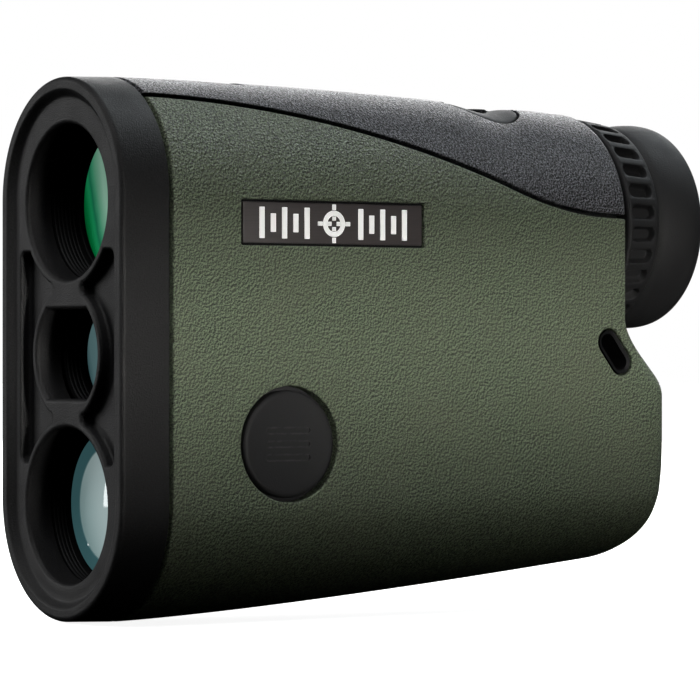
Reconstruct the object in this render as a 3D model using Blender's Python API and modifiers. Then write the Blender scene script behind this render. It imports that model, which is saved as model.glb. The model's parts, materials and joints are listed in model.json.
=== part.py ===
"""Pocket laser rangefinder, built as separate pieces that come apart on a bench.

Metres, +Z up. The lens end faces -Y, the eyepiece +Y, and +X is the user's left side with the round
button. The functions work in millimetres: x, the depth behind the front rim, and the height above the
lowest point of the body. X = 0 is the plane of symmetry, Y = 0 is mid-length.
"""

import math

import bmesh
import bpy
from mathutils import Matrix, Vector

MM = 0.001

# Body
FRONT_Y = -52.0
HALF_WIDTH = 17.0
WALL = 2.0
GAP = 0.3
CREST = 77.0
CREST_FLAT = 13.0
CREST_DROP = 2.8
CREST_RUN = 75.0
CREST_POWER = 1.8
SADDLE_DEPTH = 71.0
SADDLE_DIP = 0.75
SADDLE_SPREAD = 5.0
UPPER_CENTRE = 60.0
UPPER_CENTRE_FALL = 2.6
LOWER_CENTRE = 17.2
BELLY_START = 8.0
BELLY_RUN = 80.0
BELLY_RISE = 6.25
BELLY_POWER = 1.35

# Rear wall: flat behind the eyepiece, then an S out to the heel, then a superellipse
EYE_WALL = 88.0
HEEL = 96.9
NOTCH_TOP = 43.5
NOTCH_BOTTOM = 31.6
HEEL_RUN = 12.0
HEEL_RISE = 20.0
HEEL_CENTRE = 25.0
HEEL_POWER = 2.3

# Radius of the rear edge: small behind the eyepiece, large round the heel, small again underneath
EDGE_UPPER = 1.0
EDGE_HEEL = 4.5
EDGE_BELLY = 1.5
EDGE_UPPER_SPAN = (35.0, 44.0)
EDGE_BELLY_SPAN = (7.0, 16.0)

# Seam between the cover and the side shells: two parabolas that meet at the steepest point
SEAM_GAP = 0.4
SEAM_START = (10.0, 74.0)
SEAM_START_SLOPE = 0.03
SEAM_TURN_DEPTH = 68.0
SEAM_TURN_SLOPE = 0.39
SEAM_END_DEPTH = 84.0
SEAM_END_SLOPE = 0.04

# Front bezel
BEZEL_BACK = 7.7
SHELL_FRONT = 8.3
BEZEL_DRAFT = 0.25
BEZEL_EDGE = 0.6
RIM_WIDTH = 2.0
FLOOR = 1.0
FLOOR_BACK = 5.0
POCKET = 2.7
POCKET_SIDE = 12.8
POCKET_TOP = 52.3
POCKET_BOTTOM = 22.4
RING_WALL = 1.3
NECK = 5.0
SEAL_GROOVE = (1.2, 2.4)

# Optical axes
VIEW_Z = 59.2
EYE_Z = 57.4
EMIT_Z = 37.8
RECV_Z = 16.5
OPENING_R = 11.0
EMIT_OPENING_R = 8.25
EMIT_FLAT = 6.3
BARREL_FRONT = 5.3
CARRIER = (8.6, 11.0)

# Lenses: radius, front vertex, front sag, rear vertex, rear sag
OBJECTIVE_LENS = (10.6, 9.3, 1.0, 15.0, 0.4)
EMITTER_LENS = (7.0, 8.0, 0.7, 11.3, 0.3)
RECEIVER_LENS = (10.6, 7.4, 1.0, 12.2, 0.3)
FIELD_LENS = (8.2, 71.0, 0.8, 74.5, 0.8)
EYE_LENS = (10.2, 91.6, 0.6, 96.4, 1.4)

# Eyepiece
RING_R = 16.4
RING_REAR_R = 15.6
RING_SPAN = (88.9, 95.4)
RING_CLEARANCE = 0.4
RIB_SLOTS = 30
EYE_HOLE_R = 13.5
DIOPTER_ORIGIN = 92.0
CELL_ORIGIN = 84.0

# Buttons
MENU_DEPTH = 27.6
MENU_Z = 25.15
MENU_HOLE_R = 8.2
MENU_CAP_R = 7.6
MEASURE_DEPTH = 70.5
MEASURE_LENGTH = 14.3
MEASURE_WIDTH = 16.9
MEASURE_GAP = 0.35
MEASURE_SKIN = 1.6
MEASURE_FLUSH = 0.05
DISH_RADIUS = 30.0
DISH_LOWEST = 74.0
BOARD_LEVELS = (68.7, 69.6)

# Sloping flat on the crest, front edge to rear edge
MARK_RAMP = (19.0, 28.5)
MARK_DROP = 0.75
MARK_HALF_WIDTH = 5.5

# Badge recesses
BADGE_SPAN = (19.4, 50.75)
BADGE_Z = (53.05, 59.5)
BADGE_RECESS = 0.9
BADGE_MARGIN = 0.35
BADGE_FACES = (16.4, 16.85)

# Battery, along the lower rear
BATTERY_Z = 24.4
BATTERY_R = 7.8
CAP_HOLE_R = 10.4
COLLAR_R = 11.6
CAP_ORIGIN = 96.0
CAP_THREAD = 93.2

# Lanyard slot
SLOT_DEPTH = 85.7
SLOT_Z = 38.1
SLOT_LENGTH = 7.2
SLOT_WIDTH = 3.4
SLOT_TILT = math.radians(-52.5)

# Optical bench
DECK = (44.4, 46.2)
POST_X = 10.5
POST_Z = (47.3, 28.0)
PILLAR_DEPTH = 46.0
PILLAR_Z = 56.0
SCREW_HEAD_R = 1.9
PILOT_R = 1.25

ROUND = 24
FINE = 40

PALETTE = {
    "green_shell": ((0.075, 0.098, 0.058), 0.55, 0.0),
    "black_cover": ((0.032, 0.033, 0.036), 0.6, 0.0),
    "black_bezel": ((0.018, 0.018, 0.019), 0.5, 0.0),
    "rubber": ((0.014, 0.014, 0.015), 0.7, 0.0),
    "badge": ((0.047, 0.040, 0.040), 0.45, 0.0),
    "anodised": ((0.02, 0.02, 0.022), 0.45, 0.6),
    "coated_glass": ((0.10, 0.45, 0.25), 0.05, 0.0),
    "clear_glass": ((0.55, 0.68, 0.68), 0.05, 0.0),
    "board": ((0.01, 0.13, 0.05), 0.45, 0.0),
    "steel": ((0.55, 0.55, 0.56), 0.3, 1.0),
    "gold": ((0.80, 0.60, 0.25), 0.3, 1.0),
    "grey_plastic": ((0.12, 0.12, 0.13), 0.5, 0.0),
    "polyimide": ((0.45, 0.16, 0.02), 0.4, 0.0),
    "cell": ((0.65, 0.55, 0.10), 0.4, 0.0),
}


# ---------------------------------------------------------------- body form


def smoothstep(s):
    s = min(max(s, 0.0), 1.0)
    return s * s * (3 - 2 * s)


def crest_height(depth):
    """Height of the body's top line, with the dip that holds the oval button."""
    run = max(depth - CREST_FLAT, 0.0) / CREST_RUN
    saddle = math.exp(-(((depth - SADDLE_DEPTH) / SADDLE_SPREAD) ** 2))
    return CREST - CREST_DROP * run**CREST_POWER - SADDLE_DIP * saddle


def belly_height(depth):
    return BELLY_RISE * (max(depth - BELLY_START, 0.0) / BELLY_RUN) ** BELLY_POWER


def upper_centre(depth):
    return UPPER_CENTRE - UPPER_CENTRE_FALL * depth / EYE_WALL


def rear_depth(height):
    """Depth of the rear wall at a height."""
    if height >= NOTCH_BOTTOM:
        out = smoothstep((NOTCH_TOP - height) / (NOTCH_TOP - NOTCH_BOTTOM))
        return EYE_WALL + (HEEL - EYE_WALL) * out
    below = min(max(HEEL_CENTRE - height, 0.0) / HEEL_RISE, 1.0)
    return HEEL - HEEL_RUN * (1 - (1 - below**HEEL_POWER) ** (1 / HEEL_POWER))


def seam_height(depth):
    start, high = SEAM_START
    span = SEAM_TURN_DEPTH - start
    run = min(max(depth - start, 0.0), span)
    bend = (SEAM_TURN_SLOPE - SEAM_START_SLOPE) / span
    height = high - SEAM_START_SLOPE * run - bend * run * run / 2
    span = SEAM_END_DEPTH - SEAM_TURN_DEPTH
    run = min(max(depth - SEAM_TURN_DEPTH, 0.0), span)
    bend = (SEAM_TURN_SLOPE - SEAM_END_SLOPE) / span
    height += bend * run * run / 2 - SEAM_TURN_SLOPE * run
    return height - SEAM_END_SLOPE * max(depth - SEAM_END_DEPTH, 0.0)


def outline_stations():
    """What names each point of a half outline: an arc's angle, or a height on the straight side."""
    lower = [("lower", math.radians(15.0 * k)) for k in range(7)]
    notch = [NOTCH_BOTTOM + (NOTCH_TOP - NOTCH_BOTTOM) * k / 5 for k in range(6)]
    heights = [19.4, 21.5, HEEL_CENTRE, 28.0] + notch + [50.0]
    upper = [("upper", math.radians(11.25 * k)) for k in range(9)]
    return lower + [("side", height) for height in heights] + upper


def outline_point(station, depth, inset):
    """(x, height, outward x, outward height) of one point of the cross-section at a depth."""
    kind, value = station
    half = HALF_WIDTH - inset
    if kind == "side":
        return half, value, 1.0, 0.0
    if kind == "lower":
        rise = LOWER_CENTRE - belly_height(depth) - inset
        across, along = math.sin(value), -math.cos(value)
        centre = LOWER_CENTRE
    else:
        rise = crest_height(depth) - upper_centre(depth) - inset
        across, along = math.cos(value), math.sin(value)
        centre = upper_centre(depth)
    outward = Vector((across / half, along / rise)).normalized()
    return half * across, centre + rise * along, outward.x, outward.y


def full_outline(depth, inset):
    """Closed cross-section, as (x, height) points from the bottom centre round +X."""
    half = [outline_point(s, depth, inset)[:2] for s in outline_stations()]
    return half + [(-x, z) for x, z in reversed(half[1:-1])]


def edge_radius(height):
    """Radius of the rear edge at a height."""
    low, high = EDGE_BELLY_SPAN
    radius = EDGE_BELLY + (EDGE_HEEL - EDGE_BELLY) * smoothstep((height - low) / (high - low))
    low, high = EDGE_UPPER_SPAN
    return radius + (EDGE_UPPER - EDGE_HEEL) * smoothstep((height - low) / (high - low))


def body_solid(name, inset, start):
    """The whole body shrunk by inset, from the start depth to the rear wall, with its rear edge rounded."""
    stations = outline_stations()
    along_body = [k / 9 for k in range(10)]
    turns = [math.radians(30.0 * k) for k in (1, 2, 3)]
    columns = []
    for station in stations:
        depth = EYE_WALL
        for _ in range(4):
            height = outline_point(station, depth, inset)[1]
            depth = rear_depth(height) - inset
        x, height, out_x, out_z = outline_point(station, depth, inset)
        slope = (rear_depth(height + 0.05) - rear_depth(height - 0.05)) / 0.1
        facing = abs(out_z * slope) / math.sqrt(1 + slope * slope)
        radius = max((edge_radius(height) - inset) * math.sqrt(max(1 - facing**2, 0.0)), 0.15)
        column = []
        for share in along_body:
            here = start + share * (depth - radius - start)
            px, pz = outline_point(station, here, inset)[:2]
            column.append((px, here, pz))
        for turn in turns:
            pull = radius * (1 - math.cos(turn))
            px, pz = x - pull * out_x, height - pull * out_z
            column.append((px, rear_depth(pz) - inset - radius * (1 - math.sin(turn)), pz))
        columns.append(column)
    rings = []
    for level in range(len(columns[0])):
        half = [column[level] for column in columns]
        rings.append(half + [(-x, y, z) for x, y, z in reversed(half[1:-1])])
    return loft(name, rings)


# ---------------------------------------------------------------- builders


def world(x, depth, height):
    return Vector((x, depth + FRONT_Y, height)) * MM


def new_object(name, mesh):
    obj = bpy.data.objects.new(name, mesh)
    bpy.context.scene.collection.objects.link(obj)
    return obj


def mesh_object(name, bm):
    bmesh.ops.recalc_face_normals(bm, faces=bm.faces)
    mesh = bpy.data.meshes.new(name)
    bm.to_mesh(mesh)
    bm.free()
    return new_object(name, mesh)


def bake(obj):
    """Replaces an object by the mesh that it evaluates to, welded and facing outwards, in world space."""
    name = obj.name
    bpy.context.view_layer.update()
    graph = bpy.context.evaluated_depsgraph_get()
    mesh = bpy.data.meshes.new_from_object(obj.evaluated_get(graph))
    mesh.transform(obj.matrix_world)
    bpy.data.objects.remove(obj)
    bm = bmesh.new()
    bm.from_mesh(mesh)
    bpy.data.meshes.remove(mesh)
    bmesh.ops.remove_doubles(bm, verts=bm.verts, dist=0.002 * MM)
    return mesh_object(name, bm)


def loft(name, rings):
    """Skin over rings of (x, depth, height) points, capped between mirrored points at the rear."""
    bm = bmesh.new()
    rows = [[bm.verts.new(world(*point)) for point in ring] for ring in rings]
    count = len(rings[0])
    for row, following in zip(rows, rows[1:]):
        for k in range(count):
            after = (k + 1) % count
            bm.faces.new((row[k], row[after], following[after], following[k]))
    bm.faces.new(list(reversed(rows[0])))
    last, half = rows[-1], count // 2
    for k in range(half):
        corners = [last[k], last[k + 1], last[-k - 1], last[-k]]
        bm.faces.new(list(dict.fromkeys(corners)))
    return mesh_object(name, bm)


def plate(name, outlines, low, high, plane="XZ"):
    """Flat plate from closed outlines, the later ones holes. Outline points are (x, height) in plane XZ,
    (depth, height) in YZ and (x, depth) in XY, and low and high bound it along the third axis."""
    curve = bpy.data.curves.new(name, "CURVE")
    curve.dimensions = "2D"
    curve.fill_mode = "BOTH"
    curve.extrude = (high - low) / 2 * MM
    for outline in outlines:
        spline = curve.splines.new("POLY")
        spline.points.add(len(outline) - 1)
        for point, (a, b) in zip(spline.points, outline):
            point.co = (a * MM, b * MM, 0, 1)
        spline.use_cyclic_u = True
    obj = new_object(name, curve)
    middle = (low + high) / 2
    if plane == "XZ":
        obj.matrix_world = Matrix.Translation(world(0, middle, 0)) @ Matrix.Rotation(math.pi / 2, 4, "X")
    elif plane == "YZ":
        turn = Matrix(((0, 0, 1, 0), (1, 0, 0, 0), (0, 1, 0, 0), (0, 0, 0, 1)))
        obj.matrix_world = Matrix.Translation(world(middle, 0, 0)) @ turn
    else:
        obj.matrix_world = Matrix.Translation(world(0, 0, middle))
    return bake(obj)


def axis_frame(axis, x, depth, height):
    """Places local +Z along a world axis, so that a profile's station is its coordinate on that axis."""
    if axis == "Y":
        turn = Matrix.Rotation(-math.pi / 2, 4, "X")
        return Matrix.Translation(world(x, 0, height)) @ turn
    if axis == "X":
        return Matrix.Translation(world(0, depth, height)) @ Matrix.Rotation(math.pi / 2, 4, "Y")
    return Matrix.Translation(world(x, depth, 0))


def turned(name, profile, axis="Y", x=0.0, depth=0.0, height=0.0, steps=ROUND):
    """Turned shape from (radius, station) points along an axis. A profile that leaves the axis is a ring."""
    mesh = bpy.data.meshes.new(name)
    on_axis = profile[0][0] == 0
    edges = [(k, k + 1) for k in range(len(profile) - 1)]
    if not on_axis:
        edges.append((len(profile) - 1, 0))
    mesh.from_pydata([(r * MM, 0, s * MM) for r, s in profile], edges, [])
    obj = new_object(name, mesh)
    screw = obj.modifiers.new("turn", "SCREW")
    screw.steps = screw.render_steps = steps
    screw.use_merge_vertices = True
    screw.merge_threshold = 0.001 * MM
    obj.matrix_world = axis_frame(axis, x, depth, height)
    return bake(obj)


def rod(name, radius, low, high, **place):
    return turned(name, [(0, low), (radius, low), (radius, high), (0, high)], **place)


def tube(name, inner, outer, low, high, **place):
    return turned(name, [(inner, low), (outer, low), (outer, high), (inner, high)], **place)


def block(name, low, high):
    """Box between two corners given as (x, depth, height)."""
    bm = bmesh.new()
    bmesh.ops.create_cube(bm, size=1.0)
    a, b = world(*low), world(*high)
    size = Matrix.Diagonal((b - a).to_4d())
    size[3][3] = 1.0
    bmesh.ops.transform(bm, matrix=Matrix.Translation((a + b) / 2) @ size, verts=bm.verts)
    return mesh_object(name, bm)


def combine(obj, operation, others):
    for other in others:
        step = obj.modifiers.new(operation, "BOOLEAN")
        step.operation = operation
        step.object = other
        obj = bake(obj)
        bpy.data.objects.remove(other)
    return obj


def cut(obj, *cutters):
    return combine(obj, "DIFFERENCE", cutters)


def join(obj, *others):
    return combine(obj, "UNION", others)


def keep_inside(obj, *others):
    return combine(obj, "INTERSECT", others)


def circle(radius, a, b, count=ROUND):
    return [
        (a + radius * math.cos(2 * math.pi * k / count), b + radius * math.sin(2 * math.pi * k / count))
        for k in range(count)
    ]


def rectangle(a_low, b_low, a_high, b_high):
    return [(a_low, b_low), (a_high, b_low), (a_high, b_high), (a_low, b_high)]


def oblong(length, width, a, b, tilt, count=8):
    """Round-ended slot outline, its long axis turned by tilt."""
    radius, reach = width / 2, (length - width) / 2
    points = []
    for side in (1, -1):
        for k in range(count + 1):
            angle = math.pi * (k / count - 0.5) + (0 if side > 0 else math.pi)
            points.append((side * reach + radius * math.cos(angle), radius * math.sin(angle)))
    cos, sin = math.cos(tilt), math.sin(tilt)
    return [(a + p * cos - q * sin, b + p * sin + q * cos) for p, q in points]


def arc_between(radius, centre_z, x_from, z_sign_from, x_to, z_sign_to, count=8):
    """Arc on the +X side of a ring about (0, centre_z), between two of its points given by x and side."""
    start = math.atan2(z_sign_from * math.sqrt(radius**2 - x_from**2), x_from)
    end = math.atan2(z_sign_to * math.sqrt(radius**2 - x_to**2), x_to)
    angles = [start + (end - start) * k / count for k in range(count + 1)]
    return [(radius * math.cos(a), centre_z + radius * math.sin(a)) for a in angles]


def lens_profile(radius, front, front_sag, rear, rear_sag, steps=3):
    """Closed half section of a lens between its two vertices."""

    def face(vertex, sag):
        bend = (radius**2 + sag**2) / (2 * abs(sag))
        side = math.copysign(1.0, sag)
        radii = [radius * k / steps for k in range(steps + 1)]
        return [(r, vertex + side * (bend - math.sqrt(bend**2 - r**2))) for r in radii]

    return face(front, front_sag) + list(reversed(face(rear, -rear_sag)))


def screw_profile(head_r, head_low, head_high, shank_r, tip):
    return [(0, head_low), (head_r, head_low), (head_r, head_high), (shank_r, head_high), (shank_r, tip), (0, tip)]


# ---------------------------------------------------------------- housing


def above_seam(name, shift):
    """Everything above the seam line moved up by shift."""
    depths = [-2.0] + [SEAM_START[0] + 4.0 * k for k in range(20)] + [105.0]
    line = [(depth, seam_height(depth) + shift) for depth in depths]
    return plate(name, [line + [(105.0, 90.0), (-2.0, 90.0)]], -30, 30, "YZ")


def housing_wall(name):
    wall = body_solid(name, 0.0, SHELL_FRONT)
    return cut(wall, body_solid("hollow", WALL, SHELL_FRONT - 4))


def eyepiece_hole():
    return rod("eyepiece_hole", EYE_HOLE_R, 80, 99, height=EYE_Z, steps=FINE)


def slot_outline(margin):
    return oblong(SLOT_LENGTH + 2 * margin, SLOT_WIDTH + 2 * margin, SLOT_DEPTH, SLOT_Z, SLOT_TILT)


def side_shell(side):
    """One green half: +1 is the left shell with the round button, -1 its plain mirror."""
    name = "left_shell" if side > 0 else "right_shell"
    shell = housing_wall(name)
    shell = join(
        shell,
        rod("collar", COLLAR_R, 90, HEEL, height=BATTERY_Z),
        rod("boss", 3.4, *sorted((side * 14.2, side * 15.5)), axis="X", depth=PILLAR_DEPTH, height=PILLAR_Z),
    )
    keep = block("half", (side * GAP / 2, 0, -10), (side * 30, 110, 90))
    shell = keep_inside(shell, keep)
    floor = HALF_WIDTH - BADGE_RECESS
    badge = block("badge", (side * floor, BADGE_SPAN[0], BADGE_Z[0]), (side * 20, BADGE_SPAN[1], BADGE_Z[1]))
    screw = {"axis": "X", "depth": PILLAR_DEPTH, "height": PILLAR_Z}
    shell = cut(
        shell,
        above_seam("above", -SEAM_GAP / 2),
        eyepiece_hole(),
        rod("ring_relief", RING_R + RING_CLEARANCE, EYE_WALL + 0.05, 99, height=EYE_Z, steps=FINE),
        rod("cap_hole", CAP_HOLE_R, 85, 99, height=BATTERY_Z),
        badge,
        rod("counterbore", 2.2, *sorted((side * 15.0, side * 20)), steps=16, **screw),
        rod("screw_hole", PILOT_R, *sorted((side * 10, side * 20)), steps=16, **screw),
        plate("slot", [slot_outline(GAP)], *sorted((side * 10, side * 20)), "YZ"),
    )
    if side > 0:
        shell = cut(shell, rod("menu", MENU_HOLE_R, 10, 20, axis="X", depth=MENU_DEPTH, height=MENU_Z, steps=FINE))
    return finish(shell, "green_shell")


def measure_outline(margin):
    """Oval of the upper button, as (x, depth) points."""
    count, half_length, half_width = 32, MEASURE_LENGTH / 2 + margin, MEASURE_WIDTH / 2 + margin
    angles = [2 * math.pi * k / count for k in range(count)]
    return [(half_width * math.cos(a), MEASURE_DEPTH + half_length * math.sin(a)) for a in angles]


def top_cover():
    cover = housing_wall("top_cover")
    front, rear = MARK_RAMP
    ramp = [(front, CREST), (rear, CREST - MARK_DROP), (rear, CREST + 3), (front, CREST + 3)]
    cover = keep_inside(cover, above_seam("above", SEAM_GAP / 2))
    cover = cut(
        cover,
        eyepiece_hole(),
        plate("button_hole", [measure_outline(MEASURE_GAP)], 66, 80, "XY"),
        plate("ramp", [ramp], -MARK_HALF_WIDTH, MARK_HALF_WIDTH, "YZ"),
    )
    return finish(cover, "black_cover")


def bezel_inset(depth):
    """Draft of the bezel's side, plus the rounding of its front edge."""
    within = max(BEZEL_EDGE - depth, 0.0)
    edge = BEZEL_EDGE - math.sqrt(BEZEL_EDGE**2 - within**2)
    return BEZEL_DRAFT * (1 - depth / SHELL_FRONT) + edge


def outline_ring(depth, inset):
    return [(x, depth, z) for x, z in full_outline(SHELL_FRONT, inset)]


def emitter_outline(margin):
    """Circle with its top and bottom cut flat."""
    radius, flat = EMIT_OPENING_R + margin, EMIT_FLAT + margin
    corner = math.asin(flat / radius)
    half = [corner * (k / 8 - 1) for k in range(17)]
    angles = half + [math.pi + a for a in half]
    return [(radius * math.cos(a), EMIT_Z + radius * math.sin(a)) for a in angles]


def pocket_outline(side):
    """The deeper pocket beside the three openings, bounded by the walls around them."""
    big, small = OPENING_R + RING_WALL, EMIT_OPENING_R + RING_WALL
    low_x = math.sqrt(big**2 - (POCKET_BOTTOM - RECV_Z) ** 2)
    high_x = math.sqrt(big**2 - (VIEW_Z - POCKET_TOP) ** 2)
    points = [(POCKET_SIDE, POCKET_TOP - 1), (POCKET_SIDE, POCKET_BOTTOM + 1), (low_x + 1, POCKET_BOTTOM)]
    points += arc_between(big, RECV_Z, low_x, 1, NECK, 1, 5)
    points += arc_between(small, EMIT_Z, NECK, -1, NECK, 1, 10)
    points += arc_between(big, VIEW_Z, NECK, -1, high_x, -1, 5)
    points += [(high_x + 1, POCKET_TOP)]
    return [(side * x, z) for x, z in points]


def front_bezel():
    depths = [0.0, BEZEL_EDGE / 6, BEZEL_EDGE / 2, BEZEL_EDGE, BEZEL_BACK]
    bezel = loft("front_bezel", [outline_ring(d, bezel_inset(d)) for d in depths])
    recess = loft("recess", [outline_ring(-1, RIM_WIDTH), outline_ring(0, RIM_WIDTH), outline_ring(FLOOR, 3.0)])
    outer, inner = SEAL_GROOVE
    groove = plate("groove", [full_outline(SHELL_FRONT, outer), full_outline(SHELL_FRONT, inner)], 6.2, 9)
    bezel = cut(
        bezel,
        recess,
        plate("left_pocket", [pocket_outline(1)], FLOOR - 1, POCKET),
        plate("right_pocket", [pocket_outline(-1)], FLOOR - 1, POCKET),
        plate("view_hole", [circle(OPENING_R, 0, VIEW_Z, FINE)], -2, 9),
        plate("emit_hole", [emitter_outline(0.0)], -2, 9),
        plate("recv_hole", [circle(OPENING_R, 0, RECV_Z, FINE)], -2, 9),
        plate("back", [full_outline(SHELL_FRONT, 3.2)], FLOOR_BACK, 9),
        groove,
    )
    return finish(bezel, "black_bezel")


def front_seal():
    outer, inner = SEAL_GROOVE
    outlines = [full_outline(SHELL_FRONT, outer + 0.3), full_outline(SHELL_FRONT, inner - 0.3)]
    return finish(plate("front_seal", outlines, 6.5, 8.0), "rubber")


def badge(side):
    name = "left_badge" if side > 0 else "right_badge"
    low = (side * BADGE_FACES[0], BADGE_SPAN[0] + BADGE_MARGIN, BADGE_Z[0] + BADGE_MARGIN)
    high = (side * BADGE_FACES[1], BADGE_SPAN[1] - BADGE_MARGIN, BADGE_Z[1] - BADGE_MARGIN)
    return finish(block(name, low, high), "badge")


def lanyard_tunnel():
    outlines = [slot_outline(0.0), slot_outline(-0.5)]
    return finish(plate("lanyard_tunnel", outlines, -16.8, 16.8, "YZ"), "rubber")


def shell_screw(side):
    name = "shell_screw_left" if side > 0 else "shell_screw_right"
    profile = [(r, side * s) for r, s in screw_profile(SCREW_HEAD_R, 16.0, 15.3, 0.95, 11.6)]
    screw = turned(name, profile, axis="X", depth=PILLAR_DEPTH, height=PILLAR_Z, steps=16)
    slot = block("slot", (side * 15.6, PILLAR_DEPTH - 3, PILLAR_Z - 0.3), (side * 17, PILLAR_DEPTH + 3, PILLAR_Z + 0.3))
    return finish(cut(screw, slot), "steel")


# ---------------------------------------------------------------- optical bench and front optics


def lens_carrier():
    holes = [circle(12.3, 0, VIEW_Z), circle(8.2, 0, EMIT_Z), circle(12.3, 0, RECV_Z)]
    holes += [circle(1.2, sx * POST_X, z, 10) for sx in (1, -1) for z in POST_Z]
    outlines = [full_outline(SHELL_FRONT, 2.6)] + holes
    return finish(plate("lens_carrier", outlines, *CARRIER), "anodised")


def carrier_screws():
    places = [(sx * POST_X, z) for z in POST_Z for sx in (1, -1)]
    for number, (x, z) in enumerate(places, start=1):
        profile = screw_profile(SCREW_HEAD_R, 7.0, CARRIER[0] - GAP, 0.9, 17.0)
        screw = turned(f"carrier_screw_{number}", profile, x=x, height=z, steps=16)
        slot = block("slot", (x - 3, 6, z - 0.3), (x + 3, 7.5, z + 0.3))
        finish(cut(screw, slot), "steel")


def optical_bench():
    """Deck with a notch round the transmitter, front webs and posts, side pillars and battery bulkheads."""
    rear, side = 80.0, 14.4
    outline = [(-side, 11.3), (-9.5, 11.3), (-9.5, 31.0), (9.5, 31.0), (9.5, 11.3), (side, 11.3)]
    outline += [(side, 49.8), (12.9, 49.8), (12.9, 56.2), (side, 56.2), (side, rear), (-side, rear)]
    bench = plate("optical_bench", [outline], *DECK, "XY")
    additions = []
    for sx in (1, -1):
        additions.append(block("web", (sx * 11.9, 11.3, 25.6), (sx * 13.5, 20, DECK[0] + 0.5)))
        additions += [rod("post", 2.4, 11.3, 20, x=sx * POST_X, height=z, steps=16) for z in POST_Z]
        additions.append(block("pillar", (sx * 11.0, 44, DECK[1] - 0.5), (sx * 13.9, 48, 58.5)))
    for depth in (60.0, 76.0):
        sheet = rectangle(-13.2, 12.9, 13.2, DECK[0] + 0.5)
        additions.append(plate("bulkhead", [sheet, circle(9.6, 0, BATTERY_Z)], depth, depth + 2))
    bench = join(bench, *additions)
    pilots = [rod("pilot", 1.2, 10, 18, x=sx * POST_X, height=z, steps=12) for sx in (1, -1) for z in POST_Z]
    screw = {"axis": "X", "depth": PILLAR_DEPTH, "height": PILLAR_Z, "steps": 12}
    pilots.append(rod("pilot", PILOT_R, -20, -11.3, **screw))
    pilots.append(rod("pilot", PILOT_R, 11.3, 20, **screw))
    return finish(cut(bench, *pilots), "grey_plastic")


def objective():
    profile = [(12.0, 5.3), (12.0, 28.0), (9.8, 28.0), (9.8, 15.3), (10.9, 15.3), (10.9, BARREL_FRONT)]
    finish(turned("objective_barrel", profile, height=VIEW_Z), "anodised")
    finish(turned("objective_lens", lens_profile(*OBJECTIVE_LENS), height=VIEW_Z), "coated_glass")
    finish(tube("objective_ring", 10.3, 10.8, 9.2, 9.9, height=VIEW_Z), "anodised")


def emitter():
    profile = [(7.9, BARREL_FRONT), (7.9, 16.0), (5.2, 20.0), (5.2, 27.0)]
    profile += [(3.2, 27.0), (3.2, 20.0), (6.4, 15.0), (6.4, 11.7), (7.3, 11.7), (7.3, BARREL_FRONT)]
    finish(turned("emitter_barrel", profile, height=EMIT_Z), "anodised")
    finish(turned("emitter_lens", lens_profile(*EMITTER_LENS), height=EMIT_Z), "clear_glass")
    can = [(0, 22.5), (2.3, 22.5), (2.3, 25.5), (2.9, 25.5), (2.9, 26.7), (0.8, 26.7), (0.8, 28.4), (0, 28.4)]
    finish(turned("laser_diode", can, height=EMIT_Z, steps=16), "gold")
    finish(block("emitter_board", (-6, 28.7, 32), (6, 29.9, 43.6)), "board")


def receiver():
    profile = [(12.0, BARREL_FRONT), (12.0, 16.0), (6.2, 42.0), (5.0, 42.0), (5.0, 41.0)]
    profile += [(9.4, 16.0), (9.4, 12.5), (11.0, 12.5), (11.0, BARREL_FRONT)]
    finish(turned("receiver_barrel", profile, height=RECV_Z), "anodised")
    finish(turned("receiver_lens", lens_profile(*RECEIVER_LENS), height=RECV_Z), "clear_glass")
    can = [(0, 42.6), (3.6, 42.6), (3.6, 44.8), (4.4, 44.8), (4.4, 45.6), (0, 45.6)]
    finish(turned("detector_can", can, height=RECV_Z, steps=16), "gold")
    finish(block("detector_board", (-9, 46.0, 8.6), (9, 47.2, 25)), "board")


def prisms():
    cell = block("prism_cell", (-10.2, 33, 46.6), (10.2, 62, 66.3))
    cell = cut(
        cell,
        block("inside", (-9.0, 34.2, 47.8), (9.0, 60.8, 70)),
        rod("light_way", 7.2, 30, 65, height=58.5),
    )
    finish(cell, "grey_plastic")
    front = [(34.8, 50.5), (38.8, 48.3), (54.2, 65.9), (34.8, 65.9)]
    finish(plate("front_prism", [front], -8.4, 8.4, "YZ"), "clear_glass")
    rear = [(40.2, 48.3), (56.6, 48.3), (60.2, 50.5), (60.2, 65.9), (55.6, 65.9)]
    finish(plate("roof_prism", [rear], -8.4, 8.4, "YZ"), "clear_glass")


def display():
    window = rectangle(-7.3, 50.2, 7.3, 64.8)
    frame = [rectangle(-9.5, 46.6, 9.5, 66.5), window]
    finish(plate("display_frame", frame, 63.0, 65.4), "grey_plastic")
    finish(block("display_glass", (-7, 63.6, 50.5), (7, 64.8, 64.5)), "clear_glass")


# ---------------------------------------------------------------- eyepiece


def eyepiece():
    sleeve = [(10.9, 66.5), (10.9, 80.5), (13.2, 80.5), (13.2, 89.8)]
    sleeve += [(12.2, 89.8), (12.2, 81.9), (9.9, 81.9), (9.9, 66.5)]
    finish(turned("eyepiece_sleeve", sleeve, height=EYE_Z), "anodised")
    cell = [(9.6, 69.0), (9.6, 82.9), (11.9, 82.9), (11.9, 98.0)]
    cell += [(10.6, 98.0), (10.6, 84.1), (8.6, 84.1), (8.6, 69.0)]
    place_on(finish(turned("eye_lens_cell", cell, height=EYE_Z), "anodised"), 0, CELL_ORIGIN, EYE_Z)
    field = turned("field_lens", lens_profile(*FIELD_LENS), height=EYE_Z)
    place_on(finish(field, "clear_glass"), 0, CELL_ORIGIN, EYE_Z)
    eye = turned("eye_lens", lens_profile(*EYE_LENS), height=EYE_Z)
    place_on(finish(eye, "coated_glass"), 0, CELL_ORIGIN, EYE_Z)


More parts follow.
